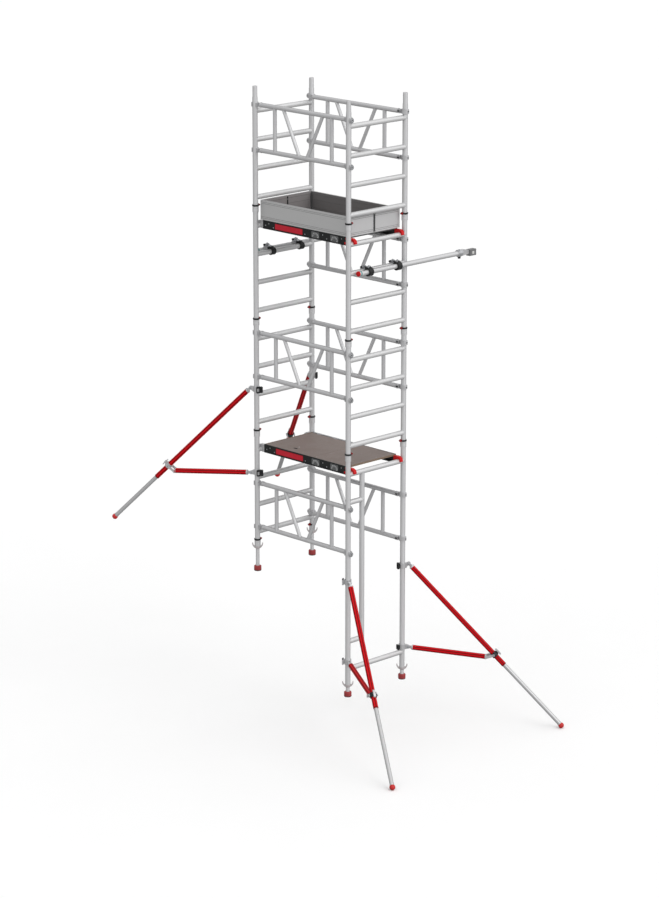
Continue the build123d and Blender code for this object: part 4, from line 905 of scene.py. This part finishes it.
# ------------------------------------------------------------------ wall ties
for end in ("uphill", "downhill"):
    node = "wall_tie_" + end
    lo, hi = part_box(node)
    x = (lo.x + hi.x) / 2
    z = 4.615 if end == "uphill" else 4.603
    z = hi.z - 0.033
    y_cap, y_tip = lo.y, hi.y
    paint(node, "tie", ("red_plastic", lambda c, n, a=y_cap: c[:, 1] < a + 0.0121),
          ("cast", lambda c, n, b_=y_tip: c[:, 1] > b_ - 0.242),
          ("cast_dark", lambda c, n, b_=y_tip: c[:, 1] > b_ - 0.0905),
          ("black", lambda c, n, z_=z: c[:, 2] < z_ - 0.0335 if False else (c[:, 2] < z_ - 0.0331) & (c[:, 1] < y_tip - 0.17)))
    b = Build()
    b.lathe((x, y_cap + 0.030, z), (0, 1, 0), [(0.0240, -0.008), (0.0249, -0.008), (0.0249, 0.008), (0.0240, 0.008)], 44, 0, closed=True)
    b.lathe((x, y_cap + 0.048, z), (0, 1, 0), [(0.0240, -0.006), (0.0247, -0.006), (0.0247, 0.006), (0.0240, 0.006)], 44, 1, closed=True)
    b.lathe((x, y_cap - 0.0001, z), (0, -1, 0), [(0.0, 0.0020), (0.014, 0.0020), (0.0205, 0.0012), (0.0240, 0.0), (0.0, -0.002)], 44, 2)
    b.make(f"tie_bands_{end}", ["teal", "light_plastic", "red_plastic"], node, "tie_tube")
    # end fitting: band clamp with its bolt, knurled knob, plate frame with a square window
    b = Build()
    ys = y_tip - 0.242
    b.lathe((x, ys + 0.018, z), (0, 1, 0), [(0.0328, -0.011), (0.0352, -0.010), (0.0352, 0.010), (0.0328, 0.011)], 48, 0)
    b.lathe((x, ys + 0.044, z), (0, 1, 0), [(0.0328, -0.006), (0.0345, -0.005), (0.0345, 0.005), (0.0328, 0.006)], 48, 0)
    b.bolt((x + 0.008, ys + 0.018, z + 0.034), (0, 0, 1), 0.0075, 0.0075)
    kz = z - 0.052
    prof = []
    n = 36
    verts, faces = [], []
    for h, r in ((0.019, 0.0130), (0.016, 0.0146), (0.002, 0.0146), (-0.001, 0.0120)):
        for i in range(n):
            rr = r * (1.0 - (0.05 if i % 3 == 0 else 0.0))
            a = 2 * math.pi * i / n
            verts.append((x + rr * math.cos(a), ys + 0.028 + rr * math.sin(a), kz + h))
    for k in range(3):
        for i in range(n):
            faces.append((k * n + i, (k + 1) * n + i, (k + 1) * n + (i + 1) % n, k * n + (i + 1) % n))
    faces.append(tuple(range(n)))
    faces.append(tuple(3 * n + i for i in range(n))[::-1])
    b.add(verts, faces, 1)
    b.make(f"tie_end_clamp_{end}", ["zinc", "black"], node, "tie_tube")
    b = Build()
    for s in (-1, 1):
        px = x + s * 0.025
        ax = Vector((0, s, 0))
        yc, zc = y_tip - 0.044, z - 0.013
        outer = [(s * (p[0]), p[1]) for p in rounded(-0.040, 0.040, -0.026, 0.026, 0.004, 3)]
        b.prism((px, yc, zc), ax, Z, outer, 0.0022, 0, 0.0008)
        b.prism((px + s * 0.0022, yc, zc), ax, Z, [(s * p[0], p[1]) for p in rounded(-0.0135, 0.0135, -0.0135, 0.0135, 0.002, 3)], 0.0010, 1, 0.0004)
    b.make(f"tie_plate_{end}", ["cast_dark", "light_plastic"], node, "tie_tube")

mid = XU + 0.03075
paint("wall_tie_couplers", "zinc",
      ("black", lambda c, n: np.where(c[:, 0] > 0, c[:, 0] > mid, c[:, 0] > -mid) & (c[:, 2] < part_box("wall_tie_couplers")[1].z - 0.0185)),
      ("black", lambda c, n: (np.minimum(abs(c[:, 1] + 0.160 + 0.050), abs(c[:, 1] - 0.223 + 0.050)) < 0.006)))
b = Build()
clo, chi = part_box("wall_tie_couplers")
for sx in (-1, 1):
    zr = UP["downhill_front"].z * 0 + 4.603
    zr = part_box("wall_tie_downhill")[1].z - 0.033
    zt_ = zr if sx > 0 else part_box("wall_tie_uphill")[1].z - 0.033
    for yc in (-0.160, 0.223):
        for xc, zc in ((sx * XU, zr), (sx * (2 * mid - XU), zt_)):
            rb = 0.036 if xc == sx * XU else 0.041
            b.bolt((xc, yc - 0.007, zc + rb + 0.0150), (0, 0, 1), 0.0085, 0.0085)
            b.lathe((xc, yc - 0.050, zc + rb + 0.006), (0, -1, 0), [(0.0075, -0.012), (0.0105, -0.012), (0.0112, -0.008), (0.0112, 0.0), (0.0095, 0.003), (0.0, 0.0035)], 30, 1)
            for k in (-0.020, 0.020):
                b.lathe((xc, yc + k, zc), (0, 1, 0), [(rb - 0.0005, -0.003), (rb + 0.0011, -0.002), (rb + 0.0011, 0.002), (rb - 0.0005, 0.003)], 44, 1)
b.make("coupler_bolts", ["zinc", "black"], "tower", "tie_coupler")

# ------------------------------------------------------------------ studio
WORLD_BASE, WORLD_SIDE, WORLD_TOP, KEY, FILL = 0.50, 0.24, 0.56, 1.05, 0.45
scene = bpy.context.scene
lo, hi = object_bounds()
me = bpy.data.meshes.new("studio_floor")
S = 90.0
me.from_pydata([(-S, -S, lo.z), (S, -S, lo.z), (S, S, lo.z), (-S, S, lo.z)], [], [(0, 1, 2, 3)])
floor = bpy.data.objects.new("studio_floor", me)
scene.collection.objects.link(floor)
g = Graph("pale_floor")
lp = g.node("ShaderNodeLightPath")
pale = g.mix(g.noise(0.8, 3), (0.93, 0.93, 0.93), (0.95, 0.95, 0.95))
me.materials.append(g.done(g.mix(lp.outputs["Is Camera Ray"], (0.40, 0.40, 0.40), pale), 0.9, Specular_IOR_Level=0.1))

world = bpy.data.worlds.new("studio")
scene.world = world
world.use_nodes = True
wt = world.node_tree
SIDE = (0.69731, 0.71677, 0.0)                # the brighter side of the room, to the right of the camera
co = wt.nodes.new("ShaderNodeTexCoord")
dot = wt.nodes.new("ShaderNodeVectorMath")
dot.operation = "DOT_PRODUCT"
dot.inputs[1].default_value = SIDE
wt.links.new(co.outputs["Generated"], dot.inputs[0])
sep = wt.nodes.new("ShaderNodeSeparateXYZ")
wt.links.new(co.outputs["Generated"], sep.inputs[0])


def wmath(op, a, b):
    n = wt.nodes.new("ShaderNodeMath")
    n.operation = op
    for k, v in enumerate((a, b)):
        if isinstance(v, bpy.types.NodeSocket):
            wt.links.new(v, n.inputs[k])
        else:
            n.inputs[k].default_value = v
    return n.outputs[0]


level = wmath("ADD", wmath("MULTIPLY", dot.outputs["Value"], WORLD_SIDE), WORLD_BASE)
level = wmath("ADD", level, wmath("MULTIPLY", wmath("MAXIMUM", sep.outputs["Z"], 0.0), WORLD_TOP))
wt.links.new(level, wt.nodes["Background"].inputs["Strength"])
wt.nodes["Background"].inputs["Color"].default_value = (1.0, 1.0, 1.0, 1)


def sun(name, direction, spread, power):
    l = bpy.data.lights.new(name, "SUN")
    l.energy, l.angle = power, math.radians(spread)
    o = bpy.data.objects.new(name, l)
    o.rotation_euler = Vector(direction).to_track_quat("Z", "Y").to_euler()
    scene.collection.objects.link(o)


# broad soft boxes: the main one to the right of the camera, a weak one over its left shoulder
sun("key", (0.95, 0.10, 0.50), 50, KEY)
sun("fill", (0.10, -0.95, 0.45), 60, FILL)

cam = bpy.data.cameras.new("camera")
camera = bpy.data.objects.new("camera", cam)
scene.collection.objects.link(camera)
right, up_, back = Vector((0.69731, 0.71677, 0.0)), Vector((-0.18864, 0.18352, 0.96475)), Vector((0.6915, -0.6727, 0.2632))
rot = Matrix((right, up_, back)).transposed().to_4x4()
camera.matrix_world = Matrix.Translation((21.884, -21.292, 11.032)) @ rot
cam.sensor_width, cam.lens, cam.clip_end = 36.0, 129.82, 300.0
scene.camera = camera
scene.view_settings.view_transform = "Standard"
scene.view_settings.look = "None"
